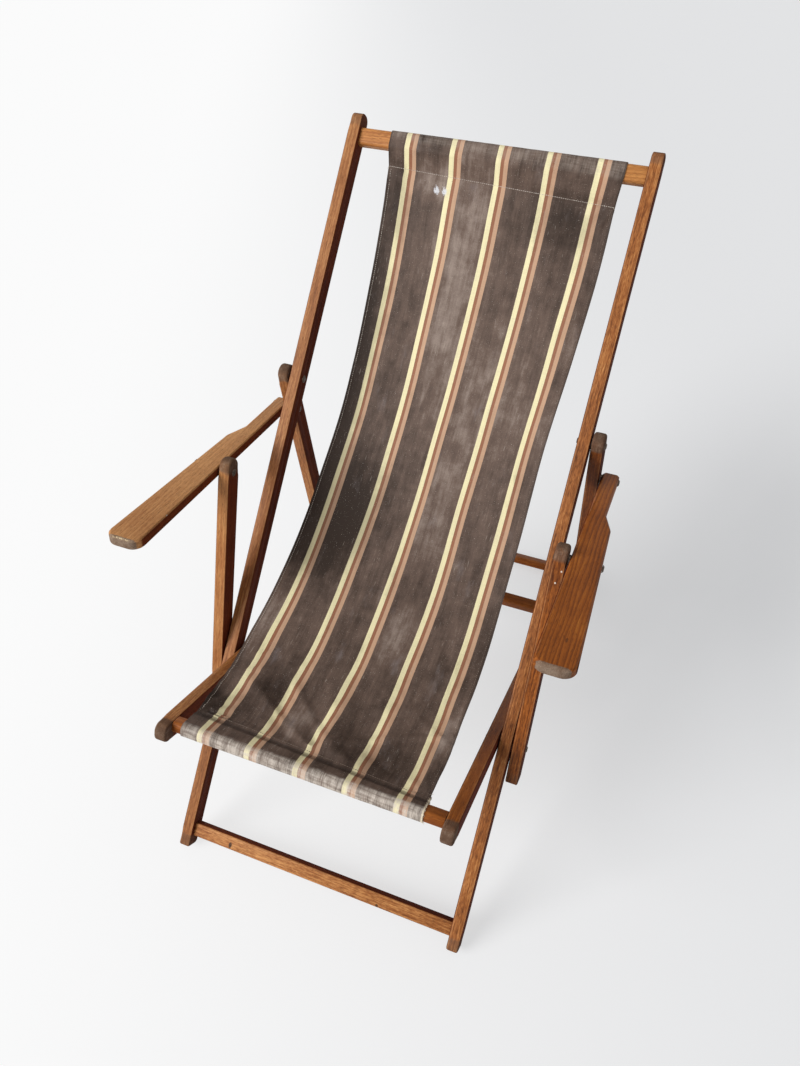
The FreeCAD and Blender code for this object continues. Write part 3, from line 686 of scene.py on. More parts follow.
spot_place = wood.place()
for centre, reach, strength in DARK_MARKS:
    wood.cover(wood.spot(spot_place, centre, reach, 0.3) * strength, DARK_MARK)
for centre, reach in PALE_MARKS:
    wood.cover(wood.spot(spot_place, centre, reach, 0.4) * 0.85, PALE_MARK)
roughness = fibre * 0.16 + 0.42 + worn * 0.28 + cut_across * 0.12 + pore * 0.1 + painted_side_shade * 0.34
height = fibre * 0.5 - pore * 0.8 - late_wood * rings * 0.3
wood.set(Base_Color=wood.tint, Roughness=roughness.clip(), Specular_IOR_Level=0.14)
wood.set(Coat_Weight=(COAT - (worn + painted_side_shade) * COAT).clip(), Coat_Roughness=0.35)
wood.set(Normal=wood.bump(height, 0.45, 0.0004))
print("wood nodes", len(wood.tree.nodes))

# %% [markdown]
# ## Wooden pieces
# Each side stick leans by its own angle, and a cross bar lies square to the rails that it
# joins, with its wide face along them. Tones, rings and flecks were judged: the head bar and
# the foot stretcher are golden, and the right armrest shows the clearest rings.

# %% Make the sticks
# Each look is the tone, how amber it is, and how strong the rings and the flecks are.
LOOKS = {
    "back_rail_left": (0.08, 0.15, 0.10, 0.45),
    "back_rail_right": (-0.20, 0.42, 0.10, 0.80),
    "seat_rail_left": (0.42, 0.30, 0.10, 0.60),
    "seat_rail_right": (-0.05, 0.90, 0.10, 0.35),
    "prop_leg_left": (0.00, 0.12, 0.10, 0.65),
    # The right prop leg's dark tone is partly painted shade, for the shadow of the armrest and back
    # rail on it.
    "prop_leg_right": (-0.75, 0.80, 0.10, 0.30),
    "arm_post_left": (0.50, 0.25, 0.10, 0.30),
    "arm_post_right": (-0.50, 0.85, 0.30, 0.60),
    "armrest_left": (0.85, 0.16, 0.16, 0.35),
    "armrest_right": (-0.28, 1.00, 0.38, 0.12),
    "head_bar": (0.70, 0.50, 0.28, 0.15),
    "foot_stretcher": (0.40, 0.35, 0.15, 0.80),
    "front_bar": (0.05, 0.85, 0.15, 0.20),
    "rear_stretcher": (-0.30, 0.90, 0.15, 0.25),
    "prop_bar": (-0.35, 0.90, 0.15, 0.25),
}
# The first of two ends is the foot of a back rail or post, the top of a leg, and the front of
# a seat rail or armrest.
WORN_ENDS = {
    "back_rail": (0.55, 0.45),
    "seat_rail": (0.95, 0.40),
    "prop_leg": (0.90, 0.30),
    "arm_post": (0.30, 0.85),
    "armrest": (1.00, 0.30),
}
SOFT_ENDS = {
    "back_rail": (0.0040, 0.0028),
    "seat_rail": (0.0042, 0),
    "prop_leg": (0.0050, 0.0020),
    "arm_post": (0.0020, 0.0055),
    "armrest": (0, 0),
}

sidewise = Vector((1, 0, 0))
for name, (body, lean) in SIDE_STICKS.items():
    axes = (lean_axes(lean)[0], sidewise)
    for side in ("left", "right"):
        node = f"{name}_{side}"
        rider = f"{body}_{side}" if body in ("post", "arm") else body
        make_stick(node, rider, axes, LOOKS[node], WORN_ENDS[name], SOFT_ENDS[name])
for name, (body, lean) in CROSS_BARS.items():
    make_stick(name, body, (sidewise, lean_axes(lean)[0]), LOOKS[name], (0, 0))
print("wooden pieces", len(LOOKS))

# %% [markdown]
# ## Rivets and washers
# The rivets and washers are plain steel that has darkened outdoors. Their shapes are right
# in the CAD model, so its nodes stay and only get a material.

# %% Steel finish
DARK_STEEL = (66, 58, 52)
GREY_STEEL = (120, 104, 92)
RUST = (112, 66, 36)

steel = Finish("dull_steel")
steel_place = steel.place()
stain = steel.speckle(steel_place, 420.0, 4.0, 0.65)
scratch = steel.speckle(steel_place, 1800.0, 2.0, 0.5)
steel.tint = colour(*DARK_STEEL)
steel.cover(stain.over(0.40, 0.65), GREY_STEEL)
steel.cover(stain.over(0.60, 0.72) * 0.7, RUST)
steel.set(Base_Color=steel.tint, Metallic=0.85, Roughness=(scratch * 0.25 + 0.38).clip())
steel.set(Normal=steel.bump(scratch, 0.3, 0.0002))
metal_nodes = [s["node"] for s in frame["record"]["subparts"] if s["material_slot"] == "metal"]
for name in metal_nodes:
    slots = bpy.data.objects[name].data.materials
    slots.clear()
    slots.append(steel.material)
print("steel on", len(metal_nodes), "nodes")

# %% [markdown]
# ## The way the canvas runs
# The canvas is one long strip. Seen from the side it starts at its raw edge under the front
# hem, goes round the front bar, hangs to the head bar, goes round that, and ends under the
# top hem. The hanging part is a catenary, the curve of a slack cloth. Each hem is the tight
# loop round the four rounded corners of its bar and the seam, and a convex hull finds it.

# %% The tight loop of a hem
# Each section of a bar is its width, its thickness and the radius of its corners.
HEAD_SECTION = (0.030, 0.020, 0.006)
FRONT_SECTION = (0.026, 0.020, 0.008)
CLOTH_THICK = 0.0012
CLOTH_OFF_BAR = 0.0012
ARC_POINTS = 24


def tight_loop(points):
    """Give the convex hull of points in the plane, anticlockwise."""
    points = sorted(set((p[0], p[1]) for p in points))
    chains = []
    for run in (points, points[::-1]):
        chain = []
        for p in run:
            while len(chain) > 1:
                a, b = chain[-2], chain[-1]
                if (b[0] - a[0]) * (p[1] - a[1]) - (b[1] - a[1]) * (p[0] - a[0]) < 0:
                    break
                chain.pop()
            chain.append(p)
        chains.append(chain[:-1])
    return chains[0] + chains[1]


def hem_loop(bar, section, lean, seam):
    """Give the way of the cloth from a seam round a bar and back to the seam."""
    wide, thick, rounding = section
    out, square = (Vector(axis.yz) for axis in lean_axes(lean))
    points = [tuple(seam)]
    for side, level in ((1, 1), (-1, 1), (-1, -1), (1, -1)):
        corner = bar + out * side * (wide / 2 - rounding) + square * level * (thick / 2 - rounding)
        for step in range(ARC_POINTS):
            turn = 2 * math.pi * step / ARC_POINTS
            ray = Vector((math.cos(turn), math.sin(turn)))
            points.append(tuple(corner + ray * (rounding + CLOTH_OFF_BAR)))
    loop = tight_loop(points)
    start = loop.index(tuple(seam))
    return loop[start:] + loop[:start] + [tuple(seam)]


print("cloth", CLOTH_THICK, "m thick")


# %% The hanging curve and its ends
def middle_of(node):
    """Give the middle of a node in the side view."""
    low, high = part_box(node)
    return Vector(((low[1] + high[1]) / 2, (low[2] + high[2]) / 2))


def hanging(start, end, slack, count):
    """Give points on the catenary between two points."""
    run = end[0] - start[0]
    lean = (end[1] - start[1]) / (2 * slack * math.sinh(run / (2 * slack)))
    lowest = (start[0] + end[0]) / 2 - slack * math.asinh(lean)
    level = start[1] - slack * math.cosh((start[0] - lowest) / slack)
    ways = [start[0] + run * step / count for step in range(count + 1)]
    return [(y, level + slack * math.cosh((y - lowest) / slack)) for y in ways]


front_bar = middle_of("front_bar")
head_bar = middle_of("head_bar")
print("front bar at", [round(x, 4) for x in front_bar])
print("head bar at", [round(x, 4) for x in head_bar])

# %% [markdown]
# Both seams were sewn a little askew, so the left edge of the cloth runs a slightly different
# way from its right edge. Each edge gets a route of its own, with as many rows in each part,
# and the cloth between them is blended. At each seam the raw edge lies under the hanging
# cloth, a little more than one thickness below it.

# %% The routes of the two edges
FRONT_SEAMS = {"left": Vector((0.0375, -0.0020)), "right": Vector((0.0200, 0.0016))}
TOP_DROPS = {"left": 0.0385, "right": 0.0520}
TOP_SLOPE = math.radians(64)
SLACK = 0.471
CURVE_STEPS = 200
FRONT_ROWS = 54
HANG_ROWS = 184
TOP_ROWS = 60
FRONT_ROW = FRONT_ROWS
TOP_ROW = FRONT_ROWS + HANG_ROWS
RAW_EDGE = 0.009
UNDER = 0.0015


def beneath(run, depth):
    """Give a run of points moved to its right-hand side."""
    ahead = np.gradient(run, axis=0)
    ahead /= np.linalg.norm(ahead, axis=1)[:, None]
    return run + depth * np.stack((ahead[:, 1], -ahead[:, 0]), axis=1)


def lengths_along(run):
    """Give how far each point of a run is from its start."""
    return np.concatenate(([0], np.cumsum(np.linalg.norm(np.diff(run, axis=0), axis=1))))


def evenly(run, rows):
    """Cut a run into even rows."""
    far = lengths_along(run)
    spots = np.linspace(0, far[-1], rows + 1)
    return np.stack([np.interp(spots, far, run[:, i]) for i in (0, 1)], axis=1)


def edge_route(side):
    """Give each row's place, its outward direction and how far it is behind the front seam."""
    front_seam = front_bar + FRONT_SEAMS[side]
    top_seam = head_bar - TOP_DROPS[side] * Vector((math.cos(TOP_SLOPE), math.sin(TOP_SLOPE)))
    front_loop = hem_loop(front_bar, FRONT_SECTION, SEAT_LEAN, front_seam)
    top_loop = hem_loop(head_bar, HEAD_SECTION, BACK_LEAN, top_seam)
    hang = np.array(hanging(front_seam, top_seam, SLACK, CURVE_STEPS))
    under_hang = beneath(hang, UNDER)
    tucked = lengths_along(under_hang)
    first_raw = under_hang[tucked < RAW_EDGE][::-1]
    last_raw = under_hang[tucked > tucked[-1] - RAW_EDGE][::-1]
    front_part = evenly(np.concatenate((first_raw, front_loop[1:])), FRONT_ROWS)
    top_part = evenly(np.concatenate((top_loop[:-1], last_raw)), TOP_ROWS)
    route = np.concatenate((front_part[:-1], evenly(hang, HANG_ROWS), top_part[1:]))
    runs = lengths_along(route)
    slopes = np.gradient(route, axis=0)
    slopes /= np.linalg.norm(slopes, axis=1)[:, None]
    outward = np.stack((-slopes[:, 1], slopes[:, 0]), axis=1)
    return np.column_stack((route, outward, runs - runs[FRONT_ROW]))


left_route = edge_route("left")
right_route = edge_route("right")

# %% [markdown]
# ## Where each bit of cloth lies
# The canvas is a little skewed on its bars and drawn in halfway up, and it has the shallow
# folds of old cloth: gathers behind the front bar, puckers at the seams, drag folds at the
# corners and edges that wander. They come from smooth noise with fixed places, so every run
# gives the same cloth. Each kind of fold has its own height, in metres.

# %% How high each kind of fold is
CLOTH_WIDE = 0.403
SIDE_HEM = 0.007
SLOW_WAVES = 0.0036
NARROW_WAVES = 0.0022
GATHERS = 0.0070
CREASES = 0.0030
TOP_FOLDS = 0.0022
PUCKERS = 0.0012
PUCKER_REACH = 0.012
WAVY_RIMS = 0.0034
SIDE_RIDGE = 0.0005
HEM_LUMPS = 0.0006
HEM_GROOVE = 0.0015
HEM_WRINKLES = 0.0007
# Each corner is its side, how high its folds are and how far they reach.
FRONT_CORNERS = ((-1, 0.0018, 0.10), (1, 0.0009, 0.06))
TOP_CORNERS = ((-1, 0.0012, 0.08), (1, 0.0010, 0.06))
print("the highest folds are the gathers,", GATHERS, "m")


# %% How far the cloth stands off its route
def between(value, start, full, fading, gone):
    """Rise from 0 to 1 between start and full, and fall back between fading and gone."""
    return rise(value, start, full) * (1 - rise(value, fading, gone))


def corner_drag(across, away, corner, reach):
    """Give the height of the folds that run into a corner of the cloth."""
    beside = abs(across - corner)
    far = math.hypot(beside, away)
    turn = math.atan2(away, beside)
    return between(far, 0.004, 0.02, reach / 3, reach) * math.cos(turn * 11 + far * 30)


def hem_lift(across, into, in_front):
    """Give how far the cloth of a hem stands off its bar, so far into the hem."""
    lump = 0.5 + 0.5 * noise.noise((across * 60, into * 30, 4))
    sunk = between(into, 0, 0.005, 0.006, 0.012) * in_front
    pulled = between(into, 0, 0.004, 0.008, 0.030)
    wrinkle = HEM_WRINKLES * pulled * noise.noise((across * 80, 2.0, 6.0))
    return HEM_LUMPS * lump * rise(into, 0, 0.02) - HEM_GROOVE * sunk + wrinkle


def lift(across, past, left):
    """Give how far the cloth stands off its route, past one seam and left to the other."""
    if past < 0 or left < 0:
        return hem_lift(across, max(-past, -left), past < 0)
    free = rise(past, 0.004, 0.05) * rise(left, 0.004, 0.06)
    height = SLOW_WAVES * free * noise.noise((across * 5.5, past * 3.2, 7.1))
    height += NARROW_WAVES * free * noise.noise((across * 19, past * 5, 3.3))
    gather = between(past, 0.003, 0.016, 0.05, 0.22)
    height += GATHERS * gather * noise.noise((across * 21 + past * 10, past * 7, 1.5))
    crease = abs(noise.noise((across * 10 + past * 13, past * 5, 2.2)))
    crossing = abs(noise.noise((across * 8 - past * 15, past * 6, 5.7)))
    height += CREASES * gather * (rise(0.18 - crease, 0, 0.18) + rise(0.14 - crossing, 0, 0.14))
    under_seam = between(left, 0.003, 0.02, 0.06, 0.26)
    height += TOP_FOLDS * under_seam * noise.noise((across * 30, left * 5, 8.2))
    pucker = math.exp(-past / PUCKER_REACH) * rise(past, 0, 0.003)
    pucker += math.exp(-left / PUCKER_REACH) * rise(left, 0, 0.003)
    height += PUCKERS * pucker * noise.noise((across * 95, past * 20, 9))
    for away, corners in ((past, FRONT_CORNERS), (left, TOP_CORNERS)):
        for side, high, reach in corners:
            height += high * corner_drag(across, away, side * CLOTH_WIDE / 2, reach)
    rim = rise(abs(across), 0.165, 0.20)
    height += WAVY_RIMS * rim * free * noise.noise((2.0 if across > 0 else 5.0, past * 7, 0.5))
    hem_line = CLOTH_WIDE / 2 - SIDE_HEM
    return height + SIDE_RIDGE * rise(abs(across), hem_line - 0.001, hem_line + 0.0015) * free


print("halfway the cloth stands off", round(lift(0, 0.55, 0.55), 5), "m")

# %% [markdown]
# A point of the cloth is found from its share of the width and its row. The route gives its
# place in the side view. The width is drawn in a little over halfway up, its middle shifts
# toward the right on the way to the top, and the folds lift the cloth off its route.

# %% A point of the cloth
MIDDLE_FRONT = -0.007
MIDDLE_SHIFT = 0.017
DRAWN_IN = 0.0095
DRAWN_AT = 0.62
DRAWN_REACH = 0.25
FRONT_WIDER = {"left": 0.001, "right": 0.0}
TOP_WIDER = {"left": 0.001, "right": 0.005}
SLOW_WANDER = 0.0018
QUICK_WANDER = 0.0030
RAGGED_RIM = 0.0012
TOP_HEM = float(left_route[-1, 4] - left_route[TOP_ROW, 4]) - RAW_EDGE


def route_at(share, row):
    """Give the route's place, outward direction and run at a share of the width."""
    rows = np.arange(len(left_route))
    mixed = []
    for column in range(5):
        ends = [np.interp(row, rows, route[:, column]) for route in (left_route, right_route)]
        mixed.append(ends[0] + (ends[1] - ends[0]) * (share + 1) / 2)
    return mixed


def cloth_point(share, row, above=0.0):
    """Give a point of the cloth; share goes from -1 at its left edge to 1 at its right."""
    y, z, out_y, out_z, past = route_at(share, row)
    left = route_at(share, TOP_ROW)[4] - past
    up = min(1.0, max(0.0, past / (past + left)))
    in_front = 1 - rise(past, -0.004, 0.012)
    in_top = between(-left, -0.010, 0.055, TOP_HEM - 0.055, TOP_HEM + 0.010)
    side = "right" if share > 0 else "left"
    wider = FRONT_WIDER[side] * in_front + TOP_WIDER[side] * in_top
    half = CLOTH_WIDE / 2 - DRAWN_IN * math.exp(-(((up - DRAWN_AT) / DRAWN_REACH) ** 2)) + wider
    loose = (1 - in_front) * rise(left, -0.004, 0.05)
    wander = SLOW_WANDER * noise.noise((share * 2.2, past * 7, 2.0)) * loose
    near_front = loose * (1 - rise(past, 0.10, 0.30))
    wander += QUICK_WANDER * noise.noise((share * 3.5, past * 13, 6.0)) * near_front
    frayed = noise.noise((past * 400, 3.0, 1.0)) * rise(share, 0.985, 1.0) * (past < 0.004)
    middle = MIDDLE_FRONT + MIDDLE_SHIFT * rise(up, 0.4, 1.0)
    x = middle + share * half + wander + RAGGED_RIM * frayed
    off = above + lift(share * CLOTH_WIDE / 2, past, left)
    return Vector((x, y + out_y * off, z + out_z * off))


print("cloth middle", [round(x, 4) for x in cloth_point(0, (FRONT_ROW + TOP_ROW) / 2)])

# %% [markdown]
# ## Striped canvas
# The stripes were woven in, so they follow the cloth. Each group has a cream, a brown and a
# tan stripe, and five groups repeat across a dark ground. An attribute holds how far each
# point is from the left edge and from the front seam, measured on the cloth.

# %% Stripes
GROUP_FIRST = 0.0292
GROUP_APART = 0.0820
STRIPE_BLUR = 0.0005
STRIPE_WIDTHS = {"cream": 0.0089, "brown": 0.0058, "tan": 0.0072}

canvas = Finish("striped_canvas")
weave_place = canvas.attribute("weave", "Vector")
sideways, lengthways = canvas.parts(weave_place)[:2]


def threads(across_scale, along_scale, lane, scale, detail=3.0, rough=0.6):
    """Give noise drawn out across or along the cloth, where that scale is the smaller one."""
    place = canvas.joined(sideways * across_scale, lengthways * along_scale, lane)
    return canvas.speckle(place, scale, detail, rough)


jitter = threads(0.2, 1.0, 0.0, 900.0, 1.0, 0.55) - 0.5
shifted = sideways - GROUP_FIRST + jitter * 0.0008
group = canvas.node("Math", {"operation": "FLOORED_MODULO"}, {0: shifted, 1: GROUP_APART})
stripes = {}
start = 0.0
for name, wide in STRIPE_WIDTHS.items():
    end = start + wide
    stripes[name] = group.between(start, start + STRIPE_BLUR, end, end + STRIPE_BLUR)
    start = end
print("groups", int(CLOTH_WIDE / GROUP_APART) + 1)

# %% [markdown]
# The ground has faded unevenly. Broad soft places, judged one by one, make it lighter where
# the sun and a sitter's back reached it, and leave it dark along the left edge, mostly as
# painted shadow of the left rail and armrest halfway up. Clouds and streaks along the threads
# are added to that, and three shades turn the sum into colour.

# %% Fading and painted shadow of the ground
# Each place has its middle, across and up the cloth, its reach each way, and how much it fades.
# Less than nothing means that it stays dark; along the left edge that is painted shadow.
FADES_AND_PAINTED_SHADOW = (
    (-0.045, 0.84, 0.085, 0.34, 0.36),
    (0.070, 0.66, 0.140, 0.24, 0.22),
    (0.190, 0.70, 0.060, 0.22, 0.12),
    (-0.110, 0.99, 0.060, 0.05, 0.24),
    (0.040, 0.45, 0.080, 0.14, 0.24),
    (0.040, 0.25, 0.060, 0.10, 0.30),
    (-0.180, 0.19, 0.070, 0.09, 0.26),
    (-0.040, 0.05, 0.070, 0.07, 0.24),
    (0.185, 0.11, 0.060, 0.09, 0.26),
    # These three dark places along the left edge are painted shadow of the left rail and armrest.
    (-0.205, 0.66, 0.070, 0.42, -0.54),
    (-0.140, 0.42, 0.110, 0.17, -0.66),
    (-0.200, 0.34, 0.060, 0.06, -0.30),
    (-0.110, 0.09, 0.050, 0.05, -0.28),
    (-0.200, 0.02, 0.080, 0.06, -0.44),
    (0.130, 0.96, 0.100, 0.08, -0.30),
    (0.100, 0.03, 0.120, 0.06, -0.24),
    (0.200, 0.25, 0.050, 0.07, -0.22),
    (-0.170, 0.93, 0.045, 0.08, -0.24),
)
GROUND_SHADES = ((36, 23, 15), (102, 83, 72), (170, 153, 141))
HAZE = (150, 141, 141)
CLOTH_HANG = float(left_route[TOP_ROW, 4] + right_route[TOP_ROW, 4]) / 2


def on_cloth(across, share, wide, tall):
    """Give an oval soft place on the cloth, from its middle and its reach."""
    centre = (CLOTH_WIDE / 2 + across, share * CLOTH_HANG, 0.0)
    return canvas.spot(weave_place, centre, (wide, tall * CLOTH_HANG, 1.0))


cloud = canvas.speckle(weave_place, 11.0, 4.0, 0.62)
small_cloud = canvas.speckle(weave_place, 40.0, 5.0, 0.66)
mottle = canvas.speckle(weave_place, 480.0, 4.0, 0.70)
long_cloud = threads(1.0, 0.18, 7.0, 62.0, 4.0)
warp_streak = threads(1.0, 0.05, 0.0, 300.0)
weft_streak = threads(0.06, 1.0, 3.0, 420.0)
haze = threads(1.0, 0.4, 4.0, 28.0, 4.0, 0.65)
fade_and_shadow = 0.36 + (cloud - 0.5) * 0.42 + (small_cloud - 0.5) * 0.56 + (long_cloud - 0.5) * 0.76
fade_and_shadow = fade_and_shadow + (warp_streak - 0.5) * 0.26 + (weft_streak - 0.5) * 0.08 + (mottle - 0.5) * 0.30
for across_at, share_at, wide, tall, much in FADES_AND_PAINTED_SHADOW:
    fade_and_shadow = fade_and_shadow + on_cloth(across_at, share_at, wide, tall) * much
canvas.tint = canvas.shades(fade_and_shadow, *GROUND_SHADES)
canvas.cover(haze.over(0.58, 0.78) * 0.30, HAZE)
print("places that faded more or less", len(FADES_AND_PAINTED_SHADOW))

# %% [markdown]
# Next come the stripes, which have rubbed less evenly, and the wear of the whole cloth: pale
# scratches, small specks, two bare spots below the top seam and a worn line where the head
# bar presses from behind.

# %% Colours and wear of the canvas
# Each stripe has its own colour and its rubbed one.
STRIPE_COLOURS = {
    "cream": ((246, 235, 186), (222, 210, 172)),
    "brown": ((156, 104, 76), (140, 98, 78)),
    "tan": ((203, 163, 132), (184, 148, 121)),
}
DIRT_AND_SHADE = (60, 44, 32)
SCRATCH = (186, 174, 162)
SPECK = (206, 196, 184)
BARE_COTTON = (222, 222, 226)
BAR_LINE = (176, 164, 152)
BARE_SPOTS = (-0.107, -0.0915)
BARE_BELOW = 0.0265
BARE_REACH = (0.0054, 0.0074, 1.0)

rub = warp_streak * 0.5 + weft_streak * 0.3 + small_cloud * 0.4
rubbed_share = rub.over(0.5, 0.8) * 0.7
for name, (fresh, rubbed) in STRIPE_COLOURS.items():
    canvas.cover(stripes[name], canvas.mix(rubbed_share, colour(*fresh), colour(*rubbed)))
# Darkest ground made darker still: dirt, and deeper painted shadow along the left edge.
canvas.cover(fade_and_shadow.under(0.05, 0.42) * 0.34, DIRT_AND_SHADE)


def scuffs(turn, where):
    """Give short fine straight scratches that lean by an angle."""
    laid = {"Vector": weave_place, "Rotation": (0.0, 0.0, turn), "Location": (where, 0.0, 0.0)}
    place = canvas.node("Mapping", {}, {**laid, "Scale": (1.0, 0.09, 1.0)})
    return canvas.speckle(place, 420.0, 1.0).over(0.725, 0.775)


scratches = (scuffs(0.15, 1.0) + scuffs(-0.6, 4.0) + scuffs(1.1, 8.0)).clip() * cloud.over(0.44, 0.6)
canvas.cover(scratches * 0.42, SCRATCH)
canvas.cover(canvas.speckle(weave_place, 620.0, 1.0).over(0.710, 0.745) * 0.60, SPECK)
ragged = (canvas.speckle(weave_place, 230.0, 4.0, 0.75) - 0.5) * 0.0200
ragged_place = canvas.joined(sideways + ragged, lengthways - ragged, 0.0)
for across_at in BARE_SPOTS:
    bare_at = (CLOTH_WIDE / 2 + across_at, CLOTH_HANG - BARE_BELOW, 0.0)
    canvas.cover(canvas.spot(ragged_place, bare_at, BARE_REACH, 0.45) * 0.9, BARE_COTTON)
bar_wear = (lengthways - CLOTH_HANG).over(0.040, 0.052) * rub.over(0.45, 0.75)
canvas.cover(bar_wear * 0.30, BAR_LINE)
print("bare spots", len(BARE_SPOTS))

# %% [markdown]
# On the front roll, where knees rub, the colour is gone down to pale threads, and a painted
# shadow lies in the groove behind its crest. The edges of the cloth are dark with handling, and
# the raw rim at the right end of the roll is pale.

# %% Wear and painted shadow of the front roll
PALE_THREADS = (212, 200, 187)
SEAM_GROOVE_SHADE = (38, 27, 20)
HANDLED = (44, 33, 27)
RAW_RIM = (228, 214, 186)
ROLL_AHEAD = 0.007
LEFT_NOSE = float(left_route[left_route[:, 0].argmin(), 4])
RIGHT_NOSE = float(right_route[right_route[:, 0].argmin(), 4])

nose = LEFT_NOSE + sideways * ((RIGHT_NOSE - LEFT_NOSE) / CLOTH_WIDE)
from_nose = lengthways - nose - ROLL_AHEAD + (small_cloud - 0.5) * 0.010
on_roll = from_nose.size().under(0.013, 0.019)
fine_threads = threads(1.0, 0.09, 8.0, 620.0)
broad_threads = threads(1.0, 0.22, 5.0, 110.0)
long_streaks = threads(0.12, 1.0, 2.0, 230.0)
bare = fine_threads.over(0.36, 0.66) * 0.50 + broad_threads.over(0.38, 0.66) * 0.60 + 0.20
bare = (on_roll * bare * (long_streaks.over(0.32, 0.60) * 0.62 + 0.38)).clip()
bare = bare * (0.72 + sideways.over(0.0, 0.08) * 0.28)
canvas.cover(bare * 0.84, PALE_THREADS)
# Painted shadow in the groove between the crest and the front seam.
canvas.cover(lengthways.between(-0.015, -0.012, -0.0025, -0.0008) * 0.50, SEAM_GROOVE_SHADE)
to_right = CLOTH_WIDE - sideways
rims = sideways.under(0.0008, 0.0045) + to_right.under(0.0008, 0.0045)
canvas.cover(rims * lengthways.over(-0.004, 0.004) * 0.60, HANDLED)
fringe = (to_right + ragged * 0.4).under(0.0016, 0.0034)
canvas.cover(fringe * lengthways.under(0.001, 0.005) * 0.9, RAW_RIM)
print("front of the roll", round(LEFT_NOSE, 4), "and", round(RIGHT_NOSE, 4), "m before the seam")

# %% [markdown]
# Close up, the plain weave shows as a fine grid of threads, over and under. It darkens the
# gaps and feeds the bump together with the streaks. The cloth is dressed cotton, so it has a
# soft gloss, most of all on the rubbed roll.

# %% Weave and gloss
THREAD = 0.0007
GAP = (30, 24, 20)

weave = (sideways.wave(THREAD) * lengthways.wave(THREAD)).clip()
canvas.cover(weave * 0.10, GAP)
gloss = (0.66 - bare * 0.22 - fade_and_shadow.clip() * 0.06).clip()
relief = weave * 0.5 + warp_streak * 0.5 + fine_threads * on_roll * 0.5
canvas.set(Base_Color=canvas.tint, Roughness=gloss, Specular_IOR_Level=0.28)
canvas.set(Normal=canvas.bump(relief, 0.35, 0.0003))
print("canvas nodes", len(canvas.tree.nodes))

# %% [markdown]
# ## The canvas itself
# A grid of points follows the route and the width. Solidify gives it the thickness of heavy
# cotton. The cloth crosses the main joint.

# %% Make the canvas
COLUMNS = 112

points = []
weave_at = []
for row in range(len(left_route)):
    for column in range(COLUMNS + 1):
        share = 2 * column / COLUMNS - 1
        points.append(cloth_point(share, row))
        past = left_route[row, 4] + (right_route[row, 4] - left_route[row, 4]) * column / COLUMNS
        weave_at.append(((share + 1) * CLOTH_WIDE / 2, past, 0))
faces = []
for row in range(len(left_route) - 1):
    for column in range(COLUMNS):
        corner = row * (COLUMNS + 1) + column
        faces.append((corner, corner + 1, corner + COLUMNS + 2, corner + COLUMNS + 1))
mesh = bpy.data.meshes.new("canvas")
mesh.from_pydata(points, [], faces)
write_attribute(mesh, "weave", weave_at)
sling = new_object("canvas", mesh)
thickness = sling.modifiers.new("thickness", "SOLIDIFY")
thickness.thickness = CLOTH_THICK
thickness.offset = 0.0
made_solid(sling)
sling.data.materials.append(canvas.material)
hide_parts("sling")
print("canvas faces", len(sling.data.polygons))

# %% [markdown]
# ## Stitches
# Seams are rows of like stitches, so Geometry Nodes make them. A line of points on the cloth
# becomes a curve, a small bead is laid along it at an even pitch, and a fixed seed makes the
# beads a little uneven. The tree ends in plain geometry with its material.


# %% Helpers for geometry nodes
def add_node(tree, kind, settings, sockets):
    """Add a node: its settings first, then its sockets. Give its outputs."""
    made = tree.nodes.new(kind)
    for name, value in settings.items():
        setattr(made, name, value)
    for name, value in sockets.items():
        if isinstance(value, bpy.types.NodeSocket):
            tree.links.new(value, made.inputs[name])
        else:
            made.inputs[name].default_value = value
    return made.outputs


def open_tree(name, inputs):
    """Start a tree with named inputs, and make a curve of the line that it is given."""
    tree = bpy.data.node_groups.new(name, "GeometryNodeTree")
    for label, kind in {"Geometry": "Geometry", **inputs, "Finish": "Material"}.items():
        tree.interface.new_socket(label, in_out="INPUT", socket_type="NodeSocket" + kind)
    tree.interface.new_socket("Geometry", in_out="OUTPUT", socket_type="NodeSocketGeometry")
    given = tree.nodes.new("NodeGroupInput").outputs
    line = add_node(tree, "GeometryNodeMeshToCurve", {}, {"Mesh": given["Geometry"]})[0]
    return tree, given, line


def close_tree(tree, geometry, finish):
    """Make the geometry real, give it its finish and hand it out."""
    real = add_node(tree, "GeometryNodeRealizeInstances", {}, {"Geometry": geometry})[0]
    finished = {"Geometry": real, "Material": finish}
    done = add_node(tree, "GeometryNodeSetMaterial", {}, finished)[0]
    add_node(tree, "NodeGroupOutput", {}, {"Geometry": done})


def grow(name, lines, tree, **values):
    """Run a tree on lines of points and keep the result as a plain piece."""
    points = [point for line in lines for point in line]
    edges = []
    first = 0
    for line in lines:
        edges += [(first + i, first + i + 1) for i in range(len(line) - 1)]
        first += len(line)
    mesh = bpy.data.meshes.new(name)
    mesh.from_pydata(points, edges, [])
    piece = new_object(name, mesh)
    modifier = piece.modifiers.new("grown", "NODES")
    modifier.node_group = tree
    for item in tree.interface.items_tree:
        if item.in_out == "INPUT" and item.name in values:
            modifier[item.identifier] = values[item.name]
    made_solid(piece)
    return piece


print("geometry node helpers ready")

# %% A tree that sews a row of stitches
BEAD_SIDES = 8
BEAD_RINGS = 5
LEAST_STITCH = (0.80, 0.85, 0.85)
MOST_STITCH = (1.08, 1.15, 1.15)

